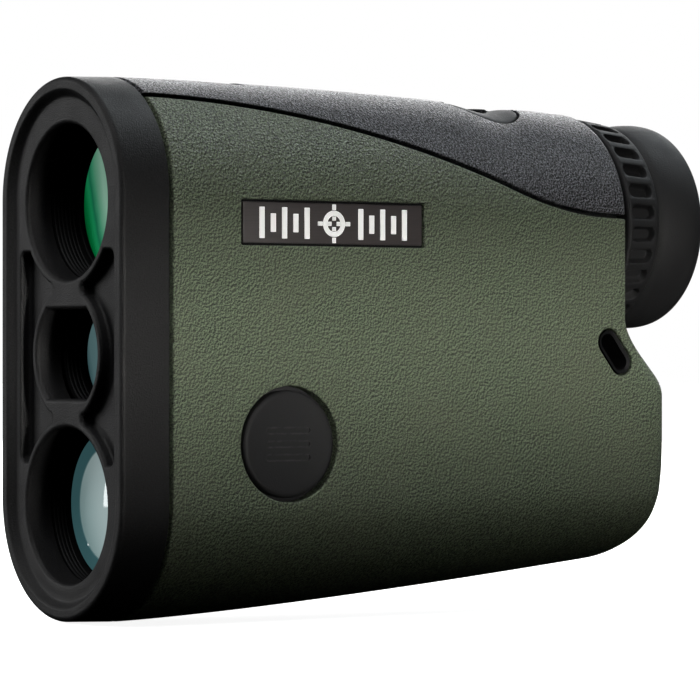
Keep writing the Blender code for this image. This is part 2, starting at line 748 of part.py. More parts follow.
def rib_cutters():
    """Blocks that cut the grip slots into the ring, one beside each rib."""
    bm = bmesh.new()
    middle = sum(RING_SPAN) / 2 - 0.4
    lean = Matrix.Rotation(math.atan2(RING_REAR_R - RING_R, RING_SPAN[1] - RING_SPAN[0]), 4, "X")
    for k in range(RIB_SLOTS):
        turn = Matrix.Rotation(2 * math.pi * (k + 0.5) / RIB_SLOTS, 4, "Y")
        made = bmesh.ops.create_cube(bm, size=1.0)["verts"]
        size = Matrix.Diagonal((1.6 * MM, 4.4 * MM, 3.0 * MM, 1.0))
        away = Matrix.Translation((0, (middle + FRONT_Y) * MM, ((RING_R + RING_REAR_R) / 2 + 0.8) * MM))
        place = Matrix.Translation((0, 0, EYE_Z * MM)) @ turn @ away @ lean
        bmesh.ops.transform(bm, matrix=place @ size, verts=made)
    return mesh_object("rib_cutters", bm)


def diopter():
    front, rear = RING_SPAN
    ring = [(13.6, front), (15.9, front), (RING_R, front + 0.5), (RING_REAR_R, rear - 0.5), (15.1, rear)]
    ring += [(12.3, rear), (12.3, 91.2), (13.6, 91.2)]
    ring = cut(turned("diopter_ring", ring, height=EYE_Z, steps=2 * RIB_SLOTS), rib_cutters())
    place_on(finish(ring, "rubber"), 0, DIOPTER_ORIGIN, EYE_Z)
    cup = [(14.4, 95.7), (15.1, 96.6), (15.5, 98.5), (15.6, 101.6), (15.3, 103.2), (14.4, 104.2)]
    cup += [(13.5, 103.5), (12.6, 101.8), (11.4, 99.8), (10.9, 98.8), (12.3, 98.4), (12.3, 95.7)]
    place_on(finish(turned("eyecup", cup, height=EYE_Z, steps=FINE), "rubber"), 0, DIOPTER_ORIGIN, EYE_Z)


# ---------------------------------------------------------------- buttons and electronics


def measure_button():
    """Key that follows the cover's form, dished for the thumb, over the plunger of its switch."""
    button = plate("measure_button", [measure_outline(0.0)], 66, 78, "XY")
    button = keep_inside(button, body_solid("skin", MEASURE_FLUSH, SHELL_FRONT))
    bm = bmesh.new()
    bmesh.ops.create_uvsphere(bm, u_segments=32, v_segments=24, radius=DISH_RADIUS * MM)
    bmesh.ops.translate(bm, vec=world(0, MEASURE_DEPTH, DISH_LOWEST + DISH_RADIUS), verts=bm.verts)
    button = cut(button, mesh_object("dish", bm), body_solid("underside", MEASURE_SKIN, SHELL_FRONT - 2))
    place_on(finish(button, "rubber"), 0, MEASURE_DEPTH, 72.8)
    plunger = rod("measure_plunger", 1.3, 70.7, 72.7, axis="Z", depth=MEASURE_DEPTH, steps=16)
    place_on(finish(plunger, "grey_plastic"), 0, MEASURE_DEPTH, 70.7)
    switch = block("measure_switch", (-2.6, MEASURE_DEPTH - 2.6, 69.9), (2.6, MEASURE_DEPTH + 2.6, 71.3))
    hole = rod("hole", 1.6, 68, 73, axis="Z", depth=MEASURE_DEPTH, steps=16)
    finish(cut(switch, hole), "steel")
    low, high = BOARD_LEVELS
    finish(block("switch_board", (-6.5, 50, low), (6.5, 80, high)), "board")


def menu_button():
    side = {"axis": "X", "depth": MENU_DEPTH, "height": MENU_Z}
    cap = [(0, 15.4), (7.0, 15.4), (MENU_CAP_R, 15.7), (MENU_CAP_R, 16.5), (7.3, 16.8), (6.6, 16.75)]
    cap += [(3.5, 16.5), (0, 16.4)]
    place_on(finish(turned("menu_button", cap, steps=FINE, **side), "rubber"), 15.4, MENU_DEPTH, MENU_Z)
    plunger = rod("menu_plunger", 1.2, 14.1, 15.1, steps=16, **side)
    place_on(finish(plunger, "grey_plastic"), 14.1, MENU_DEPTH, MENU_Z)
    switch = block("menu_switch", (13.5, MENU_DEPTH - 2.6, MENU_Z - 2.6), (14.6, MENU_DEPTH + 2.6, MENU_Z + 2.6))
    finish(cut(switch, rod("hole", 1.5, 12, 16, steps=16, **side)), "steel")


def main_board():
    board = block("main_board", (12.2, 22, 13.0), (13.2, 56, 43.0))
    chips = [((36, 22), (44, 30)), ((26, 32), (33, 38)), ((46, 33), (53, 41))]
    chips = [block("chip", (11.0, y0, z0), (12.4, y1, z1)) for (y0, z0), (y1, z1) in chips]
    finish(join(board, *chips), "board")


def ribbon_outline(points, thickness):
    """Both sides of a path in a plane, half the thickness to each side."""
    left, right = [], []
    for k, point in enumerate(points):
        before, after = points[max(k - 1, 0)], points[min(k + 1, len(points) - 1)]
        along = Vector((after[0] - before[0], after[1] - before[1])).normalized()
        aside = Vector((-along.y, along.x)) * thickness / 2
        left.append((point[0] + aside.x, point[1] + aside.y))
        right.append((point[0] - aside.x, point[1] - aside.y))
    return left + right[::-1]


def flex_cable():
    """Ribbon that runs up the inside of the wall and over the prism cell to the switch board."""
    radius, centre = 13.6, 58.3
    path = [(radius, 39.0), (radius, 50.0)]
    angles = [math.radians(9.0 * k) for k in range(7)]
    path += [(radius * math.cos(a), centre + radius * math.sin(a)) for a in angles]
    path += [(6.4, 70.05), (4.4, 70.05)]
    return finish(plate("flex_cable", [ribbon_outline(path, 0.25)], 50.5, 55.5), "polyimide")


# ---------------------------------------------------------------- battery


def coil(name, radius, low, high, turns, wire, **place):
    """Wire spring along Y as a closed tube."""
    curve = bpy.data.curves.new(name, "CURVE")
    curve.dimensions = "3D"
    curve.bevel_depth = wire * MM
    curve.bevel_resolution = 1
    curve.use_fill_caps = True
    spline = curve.splines.new("POLY")
    count = int(turns * 12)
    spline.points.add(count)
    for k, point in enumerate(spline.points):
        angle = 2 * math.pi * turns * k / count
        along = low + wire + (high - low - 2 * wire) * k / count
        point.co = (radius * math.cos(angle) * MM, radius * math.sin(angle) * MM, along * MM, 1)
    obj = new_object(name, curve)
    obj.matrix_world = axis_frame("Y", 0, 0, place["height"])
    return bake(obj)


def battery():
    tube_profile = [(9.3, 57.5), (9.3, 92.6), (10.1, 92.6), (10.1, 94.9), (8.1, 94.9), (8.1, 58.7)]
    tube_profile += [(1.2, 58.7), (1.2, 57.5)]
    finish(turned("battery_tube", tube_profile, height=BATTERY_Z), "grey_plastic")
    profile = [(0, 62.3), (7.4, 62.3), (BATTERY_R, 62.7), (BATTERY_R, 88.3), (7.4, 88.7), (3.2, 88.7)]
    profile += [(3.0, 89.5), (0, 89.5)]
    finish(turned("battery", profile, height=BATTERY_Z), "cell")
    finish(rod("contact_plate", 6.0, 59.0, 59.3, height=BATTERY_Z, steps=24), "gold")
    finish(coil("contact_spring", 4.0, 59.6, 62.0, 2.5, 0.3, height=BATTERY_Z), "steel")


def battery_cap():
    cap = [(0, 90.6), (7.5, 90.6), (7.5, 92.4), (6.5, 92.4), (6.5, 94.0), (7.5, 94.0), (7.5, 95.3)]
    cap += [(9.9, 95.3), (9.9, 97.3), (9.5, 97.7), (0, 97.7)]
    cap = turned("battery_cap", cap, height=BATTERY_Z, steps=FINE)
    slot = block("coin_slot", (-7, 96.4, BATTERY_Z - 0.9), (7, 99, BATTERY_Z + 0.9))
    place_on(finish(cut(cap, slot), "black_bezel"), 0, CAP_ORIGIN, BATTERY_Z)
    contact = rod("cap_contact", 4.5, 89.9, 90.3, height=BATTERY_Z, steps=24)
    place_on(finish(contact, "gold"), 0, CAP_ORIGIN, BATTERY_Z)
    turns = [math.pi * k / 3 for k in range(6)]
    ring = [(7.35 + 0.5 * math.cos(turn), CAP_THREAD + 0.5 * math.sin(turn)) for turn in turns]
    place_on(finish(turned("cap_seal", ring, height=BATTERY_Z), "rubber"), 0, CAP_THREAD, BATTERY_Z)


# ---------------------------------------------------------------- assembly


def make_materials():
    for name, (colour, roughness, metallic) in PALETTE.items():
        material = bpy.data.materials.new(name)
        material.use_nodes = True
        shader = material.node_tree.nodes["Principled BSDF"]
        shader.inputs["Base Color"].default_value = (*colour, 1)
        shader.inputs["Roughness"].default_value = roughness
        shader.inputs["Metallic"].default_value = metallic
        material.diffuse_color = (*colour, 1)


def finish(obj, finish_name):
    """Gives a piece its own material and smooth round faces, and files it with the rangefinder."""
    material = bpy.data.materials[finish_name].copy()
    material.name = f"{obj.name}_{finish_name}"
    obj.data.materials.clear()
    obj.data.materials.append(material)
    obj.data.shade_smooth()
    obj.data.set_sharp_from_angle(angle=math.radians(35))
    bpy.context.scene.collection.objects.unlink(obj)
    bpy.data.collections["laser_rangefinder"].objects.link(obj)
    return obj


def place_on(obj, x, depth, height):
    """Moves a piece's origin to a point of its joint's axis and leaves its shape in place."""
    origin = world(x, depth, height)
    obj.data.transform(Matrix.Translation(-origin))
    obj.location = origin


def main():
    for obj in list(bpy.data.objects):
        bpy.data.objects.remove(obj)
    parts = bpy.data.collections.new("laser_rangefinder")
    bpy.context.scene.collection.children.link(parts)
    make_materials()
    for side in (1, -1):
        side_shell(side)
        badge(side)
        shell_screw(side)
    top_cover()
    front_bezel()
    front_seal()
    lanyard_tunnel()
    lens_carrier()
    carrier_screws()
    optical_bench()
    objective()
    emitter()
    receiver()
    prisms()
    display()
    eyepiece()
    diopter()
    measure_button()
    menu_button()
    main_board()
    flex_cable()
    battery()
    battery_cap()


main()
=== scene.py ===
"""Looks of the pocket laser rangefinder: its covers, bezel, eyepiece, buttons and lenses as finished
surfaces, with their materials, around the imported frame.

The functions work in millimetres: x, the depth behind the front rim, and the height above the lowest
point of the body. world() turns them into the frame's metres.
"""

import json
import math

import bmesh
import bpy
import numpy as np
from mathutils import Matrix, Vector

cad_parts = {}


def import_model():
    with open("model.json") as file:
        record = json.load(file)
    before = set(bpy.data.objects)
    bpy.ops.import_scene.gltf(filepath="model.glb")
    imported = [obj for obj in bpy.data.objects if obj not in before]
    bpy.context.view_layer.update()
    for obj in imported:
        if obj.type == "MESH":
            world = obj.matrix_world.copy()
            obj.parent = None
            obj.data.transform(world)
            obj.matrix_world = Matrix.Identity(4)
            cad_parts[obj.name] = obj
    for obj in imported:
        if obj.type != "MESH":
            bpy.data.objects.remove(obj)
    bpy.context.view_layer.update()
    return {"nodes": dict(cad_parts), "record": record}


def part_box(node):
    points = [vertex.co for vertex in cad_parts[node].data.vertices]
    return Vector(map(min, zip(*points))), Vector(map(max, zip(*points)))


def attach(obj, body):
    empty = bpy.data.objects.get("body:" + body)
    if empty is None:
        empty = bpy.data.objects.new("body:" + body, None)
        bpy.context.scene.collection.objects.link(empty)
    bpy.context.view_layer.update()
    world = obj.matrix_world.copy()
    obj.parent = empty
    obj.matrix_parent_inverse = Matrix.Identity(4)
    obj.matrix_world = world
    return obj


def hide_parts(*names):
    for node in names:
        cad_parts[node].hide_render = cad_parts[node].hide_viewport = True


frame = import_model()

MM = 0.001
QUARTER = math.pi / 2


def edges(node):
    """Lowest and highest corner of a CAD node, as (x, y, height) in millimetres."""
    low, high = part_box(node)
    return Vector(low) / MM, Vector(high) / MM


def centre(node):
    low, high = edges(node)
    return (low + high) / 2


# ---- dimensions: some read from the frame, the rest given

FRONT_Y = edges("front_bezel")[0].y


def depths(node):
    """Front and rear depth of a CAD node."""
    low, high = edges(node)
    return low.y - FRONT_Y, high.y - FRONT_Y


HALF_WIDTH = edges("left_shell")[1].x
WALL = 2.0
GAP = 2 * edges("left_shell")[0].x
CREST = edges("top_cover")[1].z
CREST_FLAT = 13.0
CREST_DROP = 2.8
CREST_RUN = 75.0
CREST_POWER = 1.8
UPPER_CENTRE = 60.0
UPPER_CENTRE_FALL = 2.6
LOWER_CENTRE = 17.2
BELLY_START = 8.0
BELLY_RUN = 80.0
BELLY_RISE = 6.25
BELLY_POWER = 1.35

EYE_WALL = depths("top_cover")[1]
HEEL = depths("left_shell")[1]
NOTCH_TOP = 43.5
NOTCH_BOTTOM = 31.6
HEEL_RUN = 12.0
HEEL_RISE = 20.0
HEEL_CENTRE = 25.0
HEEL_POWER = 2.3
EDGE_UPPER = 1.0
EDGE_HEEL = 4.5
EDGE_BELLY = 1.5
EDGE_UPPER_SPAN = (35.0, 44.0)
EDGE_BELLY_SPAN = (7.0, 16.0)

GROOVE = 0.6
SEAM_START = (10.0, 74.0)
SEAM_START_SLOPE = 0.03
SEAM_TURN_DEPTH = 68.0
SEAM_TURN_SLOPE = 0.39
SEAM_END_DEPTH = 84.0
SEAM_END_SLOPE = 0.04

BEZEL_BACK = depths("front_bezel")[1]
SHELL_FRONT = depths("left_shell")[0]
BEZEL_DRAFT = 0.25
BEZEL_EDGE = 0.8
BEZEL_REAR_EDGE = 0.25
WINDOW_LIP = 0.65
FLOOR = 1.0
POCKET_DEPTH = 2.7
POCKET_SIDE = 12.8
POCKET_TOP = 52.3
POCKET_BOTTOM = 22.4
POCKET_CORNER = 1.1
RING_WALL = 1.3
NECK = 5.0

VIEW_Z = centre("objective_barrel").z
EMIT_Z = centre("emitter_barrel").z
RECV_Z = centre("receiver_barrel").z
EYE_Z = centre("diopter_ring").z
OPENING_R = 11.0
EMIT_OPENING_R = 8.25
EMIT_FLAT = 6.3
BARREL_FRONT = 5.3
OBJECTIVE_R = 10.6
EMITTER_R = 7.0
RECEIVER_R = 10.6
EYE_LENS_R = 10.2

RING_FRONT, RING_REAR = depths("diopter_ring")
RING_R = edges("diopter_ring")[1].x
RING_REAR_R = RING_R - 0.8
RING_CLEARANCE = 0.4
RIB_SLOTS = 30
RIB_RISE = 0.1
GRIP_STRAIGHT = 1.35
GRIP_DEPTH = 1.15
GRIP_R = 1.14
GRIP_SLOPE = 0.36
EYE_HOLE_R = 13.5

MENU_DEPTH = centre("menu_button").y - FRONT_Y
MENU_Z = centre("menu_button").z
MENU_CAP_R = edges("menu_button")[1].z - MENU_Z
MENU_HOLE_R = MENU_CAP_R + 0.6
MEASURE_DEPTH = centre("measure_button").y - FRONT_Y
MEASURE_LENGTH = 2 * (edges("measure_button")[1].y - centre("measure_button").y)
MEASURE_WIDTH = 2 * edges("measure_button")[1].x
MEASURE_GAP = 0.35
MEASURE_SKIN = 1.6
SADDLE_DEPTH = 71.0
SADDLE_DIP = 0.75
SADDLE_SPREAD = 5.0
MARK_FRONT = 19.0
MARK_REAR = 28.5
MARK_DEPTH = 0.5
MARK_HALF_WIDTH = 5.5

BADGE_MARGIN = 0.35
BADGE_FRONT, BADGE_REAR = depths("left_badge")
BADGE_LOW = edges("left_badge")[0].z
BADGE_HIGH = edges("left_badge")[1].z
BADGE_RECESS = 0.9

BATTERY_Z = centre("battery_cap").z
CAP_HOLE_R = 10.4
CAP_R = edges("battery_cap")[1].x
COLLAR_R = 11.6

SLOT_DEPTH = centre("lanyard_tunnel").y - FRONT_Y
SLOT_Z = centre("lanyard_tunnel").z
SLOT_LENGTH = 7.2
SLOT_WIDTH = 3.4
SLOT_TILT = math.radians(-52.5)

SEAM_ROLL = 0.28
SPLIT_ROLL = 0.14
NO_BORDER = (9.0, 1.0)  # near and roll of a point that no rounded border reaches
LIP = 0.3
TURNED_STEPS = 128
WELD = 0.00002
ALL_PAST = 99.0  # depth behind every rear wall, where cutters end

FLOOR_REACH = 4000
CAMERA_LENS = 205.714
CAMERA_PLACE = (0.4857, -0.3357, 0.0384)  # metres
CAMERA_AIM = (-0.8247, 0.5656, 0.0)


# ---- body form


def smoothstep(s):
    s = np.clip(s, 0.0, 1.0)
    return s * s * (3 - 2 * s)


def crest_line(depth):
    """Height of the body's top line before the dip is sunk."""
    return CREST - CREST_DROP * (np.maximum(depth - CREST_FLAT, 0.0) / CREST_RUN) ** CREST_POWER


def crest_height(depth):
    """Height of the body's top line, with the dip that holds the oval button."""
    return crest_line(depth) - SADDLE_DIP * np.exp(-(((depth - SADDLE_DEPTH) / SADDLE_SPREAD) ** 2))


def belly_height(depth):
    return BELLY_RISE * (np.maximum(depth - BELLY_START, 0.0) / BELLY_RUN) ** BELLY_POWER


def upper_centre(depth):
    return UPPER_CENTRE - UPPER_CENTRE_FALL * depth / EYE_WALL


def rear_depth(height):
    """Depth of the rear wall at a height."""
    out = smoothstep((NOTCH_TOP - height) / (NOTCH_TOP - NOTCH_BOTTOM))
    above = EYE_WALL + (HEEL - EYE_WALL) * out
    below = np.clip((HEEL_CENTRE - height) / HEEL_RISE, 0.0, 1.0)
    heel = HEEL - HEEL_RUN * (1 - (1 - below**HEEL_POWER) ** (1 / HEEL_POWER))
    return np.where(height >= NOTCH_BOTTOM, above, heel)


def edge_radius(height):
    """Radius of the rear edge at a height."""
    low, high = EDGE_BELLY_SPAN
    radius = EDGE_BELLY + (EDGE_HEEL - EDGE_BELLY) * smoothstep((height - low) / (high - low))
    low, high = EDGE_UPPER_SPAN
    return radius + (EDGE_UPPER - EDGE_HEEL) * smoothstep((height - low) / (high - low))


def seam_height(depth):
    start, high = SEAM_START
    span = SEAM_TURN_DEPTH - start
    run = np.clip(depth - start, 0.0, span)
    bend = (SEAM_TURN_SLOPE - SEAM_START_SLOPE) / span
    height = high - SEAM_START_SLOPE * run - bend * run * run / 2
    span = SEAM_END_DEPTH - SEAM_TURN_DEPTH
    run = np.clip(depth - SEAM_TURN_DEPTH, 0.0, span)
    bend = (SEAM_TURN_SLOPE - SEAM_END_SLOPE) / span
    height = height + bend * run * run / 2 - SEAM_TURN_SLOPE * run
    return height - SEAM_END_SLOPE * np.maximum(depth - SEAM_END_DEPTH, 0.0)


def outline(way, depth, inset):
    """(x, height, outward x, outward height) of the half cross-section. way runs 0 to 1 round the lower arc,
    1 to 2 up the flat side and 2 to 3 round the upper arc."""
    half = HALF_WIDTH - inset
    low_rise = LOWER_CENTRE - belly_height(depth) - inset
    high_centre = upper_centre(depth)
    high_rise = crest_height(depth) - high_centre - inset
    low_turn = np.clip(way, 0, 1) * QUARTER
    high_turn = np.clip(way - 2, 0, 1) * QUARTER
    lower = way < 1
    x = np.where(lower, half * np.sin(low_turn), half * np.cos(high_turn))
    straight = LOWER_CENTRE + (high_centre - LOWER_CENTRE) * np.clip(way - 1, 0, 1)
    on_lower, on_upper = LOWER_CENTRE - low_rise * np.cos(low_turn), straight + high_rise * np.sin(high_turn)
    height = np.where(lower, on_lower, on_upper)
    out_x = np.where(lower, np.sin(low_turn) / half, np.cos(high_turn) / half)
    out_z = np.where(lower, -np.cos(low_turn) / low_rise, np.sin(high_turn) / high_rise)
    length = np.hypot(out_x, out_z)
    return x, height, out_x / length, out_z / length


def seam_way(depth, inset, shift):
    """Where on the half cross-section the seam line, moved up by shift, lies."""
    height = seam_height(depth) + shift
    high_centre = upper_centre(depth)
    rise = crest_height(depth) - high_centre - inset
    on_side = 1 + (height - LOWER_CENTRE) / (high_centre - LOWER_CENTRE)
    on_arc = 2 + np.arcsin(np.clip((height - high_centre) / rise, 0, 1)) / QUARTER
    return np.where(height <= high_centre, on_side, on_arc)


def way_length(way):
    """Millimetres round the cross-section for one unit of way."""
    return np.where((way > 1) & (way < 2), UPPER_CENTRE - LOWER_CENTRE, HALF_WIDTH * QUARTER)


def top_surface(x, depth):
    """Height of the body's top at a point seen from above."""
    middle = upper_centre(depth)
    return middle + (crest_height(depth) - middle) * np.sqrt(np.maximum(1 - (x / HALF_WIDTH) ** 2, 0.0))


# ---- mesh builders


def world(points):
    """Points of (x, depth, height) in millimetres to the frame's metres."""
    points = np.asarray(points, float)
    return (points + np.array([0.0, FRONT_Y, 0.0])) * MM


def linked(name, data):
    """Puts an object that shows this data in the scene."""
    obj = bpy.data.objects.new(name, data)
    bpy.context.scene.collection.objects.link(obj)
    return obj


def reshaped(obj, change):
    """Runs change on the object's mesh, opened as a bmesh."""
    bm = bmesh.new()
    bm.from_mesh(obj.data)
    change(bm)
    bm.to_mesh(obj.data)
    bm.free()
    return obj


def weld(bm):
    bmesh.ops.remove_doubles(bm, verts=bm.verts, dist=WELD * MM)
    bmesh.ops.recalc_face_normals(bm, faces=bm.faces)


def mesh_object(name, points, faces):
    mesh = bpy.data.meshes.new(name)
    mesh.from_pydata(world(points).tolist(), [], faces)
    return reshaped(linked(name, mesh), weld)


def lattice_faces(rows, columns, start=0, wrap_rows=False, wrap_columns=False):
    """Quads over a lattice of rows x columns points that are numbered row by row."""
    faces = []
    for r in range(rows if wrap_rows else rows - 1):
        for c in range(columns if wrap_columns else columns - 1):
            down, right = (r + 1) % rows, (c + 1) % columns
            corners = (r * columns + c, r * columns + right, down * columns + right, down * columns + c)
            faces.append(tuple(start + k for k in corners))
    return faces


def closed_lattice(name, grid):
    """Piece with a hole through it: a lattice of (x, depth, height) points that wraps both ways."""
    grid = np.asarray(grid, float)
    faces = lattice_faces(*grid.shape[:2], wrap_rows=True, wrap_columns=True)
    return mesh_object(name, grid.reshape(-1, 3), faces)


def loft(name, rings, capped=True):
    """Skin over equal rings of (x, depth, height) points."""
    rings = np.asarray(rings, float)
    count, size = rings.shape[:2]
    faces = lattice_faces(count, size, wrap_columns=True)
    if capped:
        faces.append(tuple(reversed(range(size))))
        faces.append(tuple(range((count - 1) * size, count * size)))
    return mesh_object(name, rings.reshape(-1, 3), faces)


def turned(name, profile, axis="Y", depth=0.0, height=0.0, steps=TURNED_STEPS):
    """Turned shape from (radius, station) points. The station is the depth, x or height, by axis."""
    profile = np.asarray(profile, float)
    turns = np.arange(steps) * 2 * math.pi / steps
    radius, station = profile[:, 0, None], np.repeat(profile[:, 1, None], steps, axis=1)
    across, along = radius * np.cos(turns), radius * np.sin(turns)
    if axis == "Y":
        grid = np.stack([across, station, height + along], axis=-1)
    elif axis == "X":
        grid = np.stack([station, depth + across, height + along], axis=-1)
    else:
        grid = np.stack([across, depth + along, station], axis=-1)
    ring = profile[0, 0] > 0
    faces = lattice_faces(len(profile), steps, wrap_rows=ring, wrap_columns=True)
    return mesh_object(name, grid.reshape(-1, 3), faces)


def thick_skin(name, outer, inner, open_ends=False):
    """Closed shell between two lattices of points. With open_ends its last row and column stay open."""
    rows, columns = outer.shape[:2]
    second = rows * columns
    faces = lattice_faces(rows, columns) + [f[::-1] for f in lattice_faces(rows, columns, second)]
    rims = [[c for c in range(columns)], [r * columns for r in range(rows)]]
    if not open_ends:
        rims.append([(rows - 1) * columns + c for c in range(columns)])
        rims.append([r * columns + columns - 1 for r in range(rows)])
    for rim in rims:
        faces += [(a, b, b + second, a + second) for a, b in zip(rim, rim[1:])]
    points = np.concatenate([outer.reshape(-1, 3), inner.reshape(-1, 3)])
    return mesh_object(name, points, faces)


def mirrored(obj):
    """Adds the mirror image in x and welds the two halves where they meet."""

    def change(bm):
        made = bmesh.ops.duplicate(bm, geom=[*bm.verts, *bm.edges, *bm.faces])["geom"]
        copies = [g for g in made if isinstance(g, bmesh.types.BMVert)]
        bmesh.ops.scale(bm, vec=(-1, 1, 1), verts=copies)
        weld(bm)

    return reshaped(obj, change)


def on_side(side, obj):
    """Mirrors a piece made for the +X side to the other side of the body when side is -1."""

    def change(bm):
        bmesh.ops.scale(bm, vec=(-1, 1, 1), verts=bm.verts)
        bmesh.ops.reverse_faces(bm, faces=bm.faces)

    return reshaped(obj, change) if side < 0 else obj


def combine(obj, operation, others):
    for other in others:
        step = obj.modifiers.new(operation, "BOOLEAN")
        step.operation = operation
        step.solver = "MANIFOLD"
        step.object = other
        bpy.context.view_layer.update()
        evaluated = obj.evaluated_get(bpy.context.evaluated_depsgraph_get())
        mesh = bpy.data.meshes.new_from_object(evaluated)
        obj.modifiers.clear()
        old, obj.data = obj.data, mesh
        bpy.data.meshes.remove(old)
        bpy.data.objects.remove(other)
    return obj


def cut(obj, *cutters):
    return combine(obj, "DIFFERENCE", cutters)


def join(obj, *others):
    return combine(obj, "UNION", others)


def block(name, low, high, soft=0.0):
    """Box between two corners given as (x, depth, height), its edges rounded by soft."""
    low, high = world([np.minimum(low, high)])[0], world([np.maximum(low, high)])[0]

    def change(bm):
        bmesh.ops.create_cube(bm, size=1.0)
        for vert in bm.verts:
            vert.co = Vector((low + high) / 2) + Vector(high - low) * vert.co
        if soft:
            bmesh.ops.bevel(bm, geom=bm.edges, offset=soft * MM, segments=4, profile=0.5, affect="EDGES")

    return reshaped(linked(name, bpy.data.meshes.new(name)), change)


def roll_distances(radius, steps=5):
    """Distances from a rounded edge to the points over it, from the edge inwards."""
    return [radius * (1 - math.sin(t)) for t in np.linspace(QUARTER, 0, steps + 1)]


def lipped(radius, surface, lip, deep, high):
    """Cutter profile of a round hole whose mouth is rounded, from above the surface down to deep."""
    away = math.copysign(1.0, high - surface)
    profile = [(0, high), (radius + lip, high), (radius + lip, surface)]
    profile += [(radius + near, surface - away * drop) for near, drop in reversed(mouth_pairs(lip))]
    return profile + [(radius, deep), (0, deep)]


def mouth_pairs(lip, steps=5):
    """(widening, drop below the surface) pairs of a hole's rounded mouth, from the straight wall upwards."""
    turns = np.linspace(0, QUARTER, steps + 1)
    return [(lip * (1 - math.cos(t)), lip * (1 - math.sin(t))) for t in turns]


def smooth_curve(points, steps=6):
    """Catmull-Rom curve through (radius, station) points."""
    points = [np.array(p, float) for p in points]
    padded = [2 * points[0] - points[1]] + points + [2 * points[-1] - points[-2]]
    curve = []
    for a, b, c, d in zip(padded, padded[1:], padded[2:], padded[3:]):
        for k in range(steps):
            t = k / steps
            squared, cubed = (2 * a - 5 * b + 4 * c - d) * t**2, (3 * b - a - 3 * c + d) * t**3
            curve.append(0.5 * (2 * b + (c - a) * t + squared + cubed))
    return curve + [points[-1]]


# ---- materials


class Surface:
    """A Principled material with short calls that put procedural nodes in front of its sockets."""

    def __init__(self, name, colour, roughness, **sockets):
        self.material = bpy.data.materials.new(name)
        self.material.use_nodes = True
        self.nodes = self.material.node_tree.nodes
        self.links = self.material.node_tree.links
        self.shader = self.nodes["Principled BSDF"]
        self.colour_from(colour)
        self.roughness_from(roughness)
        for socket, value in sockets.items():
            self.put(self.shader.inputs[socket.replace("_", " ").title().replace("Ior", "IOR")], value)
        self.mm = self.vector("SCALE", self.node("TexCoord", {})["Object"], scale=1 / MM)

    def put(self, socket, value):
        """Feeds a socket with a node's output or a plain value. A colour is three numbers."""
        if isinstance(value, bpy.types.NodeSocket):
            self.links.new(value, socket)
        else:
            socket.default_value = (*value, 1) if socket.type == "RGBA" else value

    def node(self, kind, inputs, **settings):
        """Adds a shader node with its settings, feeds its inputs and returns its outputs."""
        node = self.nodes.new("ShaderNode" + kind)
        for setting, value in settings.items():
            setattr(node, setting, value)
        for socket, value in inputs.items():
            self.put(node.inputs[socket], value)
        return node.outputs

    def vector(self, operation, a, b=None, scale=None):
        inputs = {socket: value for socket, value in ((0, a), (1, b), ("Scale", scale)) if value is not None}
        outputs = self.node("VectorMath", inputs, operation=operation)
        return outputs["Value" if operation in ("DOT_PRODUCT", "LENGTH") else "Vector"]

    def math(self, operation, a, b=0.0):
        return self.node("Math", {0: a, 1: b}, operation=operation)[0]

    def noise(self, per_mm, detail=2.0, rough=0.5, where=None, output="Fac", distortion=0.0):
        grain = {"Scale": per_mm, "Detail": detail, "Roughness": rough, "Distortion": distortion}
        return self.node("TexNoise", {"Vector": where or self.mm, **grain})[output]

    def relief(self, per_mm, detail, rough, where, shift):
        """Painted light and shade on a grain: the rise of a noise towards a shift in millimetres, which puts
        a painted highlight on the side of each wrinkle that faces the shift and painted shade on the other
        side.
        """
        moved = self.vector("ADD", where, shift)
        ahead, here = (self.noise(per_mm, detail, rough, at) for at in (moved, where))
        return self.math("SUBTRACT", ahead, here)

    def cells(self, per_mm, where=None, feature="SMOOTH_F1"):
        outputs = self.node("TexVoronoi", {"Vector": where or self.mm, "Scale": per_mm}, feature=feature)
        return outputs["Distance"]

    def span(self, value, low, high, to_low=0.0, to_high=1.0, smooth=False):
        limits = {"From Min": low, "From Max": high, "To Min": to_low, "To Max": to_high}
        kind = "SMOOTHSTEP" if smooth else "LINEAR"
        return self.node("MapRange", {"Value": value, **limits}, interpolation_type=kind)["Result"]

    def ramp(self, value, stops):
        node = self.node("ValToRGB", {"Fac": value})["Color"].node
        elements = node.color_ramp.elements
        while len(elements) < len(stops):
            elements.new(0.5)
        for element, (position, colour) in zip(elements, stops):
            element.position, element.color = position, (*colour, 1)
        return node.outputs["Color"]

    def blend(self, factor, a, b):
        return self.node("Mix", {"Factor": factor, 6: a, 7: b}, data_type="RGBA")[2]

    def along(self, axis):
        """One coordinate in millimetres in the frame."""
        return self.node("SeparateXYZ", {0: self.mm})[axis]

    def worn(self, colour, radius, amount, tint, per_mm=0.8):
        """Shows the colour, and a tint on patches of the convex edges."""
        rounded = self.node("Bevel", {"Radius": radius * MM}, samples=6)["Normal"]
        turned_away = self.vector("DOT_PRODUCT", rounded, self.node("NewGeometry", {})["Normal"])
        edge = self.span(turned_away, 0.995, 0.90, smooth=True)
        patchy = self.span(self.noise(per_mm, 3.0), 0.35, 0.65)
        patches = self.math("MULTIPLY", edge, patchy)
        self.colour_from(self.blend(self.math("MULTIPLY", patches, amount), colour, tint))

    def colour_from(self, value):
        self.put(self.shader.inputs["Base Color"], value)

    def roughness_from(self, value):
        self.put(self.shader.inputs["Roughness"], value)

    def glow_from(self, value, strength):
        self.put(self.shader.inputs["Emission Color"], value)
        self.put(self.shader.inputs["Emission Strength"], strength)

    def bump(self, height, depth_mm):
        outputs = self.node("Bump", {"Strength": 1.0, "Distance": depth_mm * MM, "Height": height})
        self.put(self.shader.inputs["Normal"], outputs["Normal"])


def shades(colour, *stops):
    """Ramp stops: a position and how bright the colour is there."""
    return [(position, tuple(c * factor for c in colour)) for position, factor in stops]


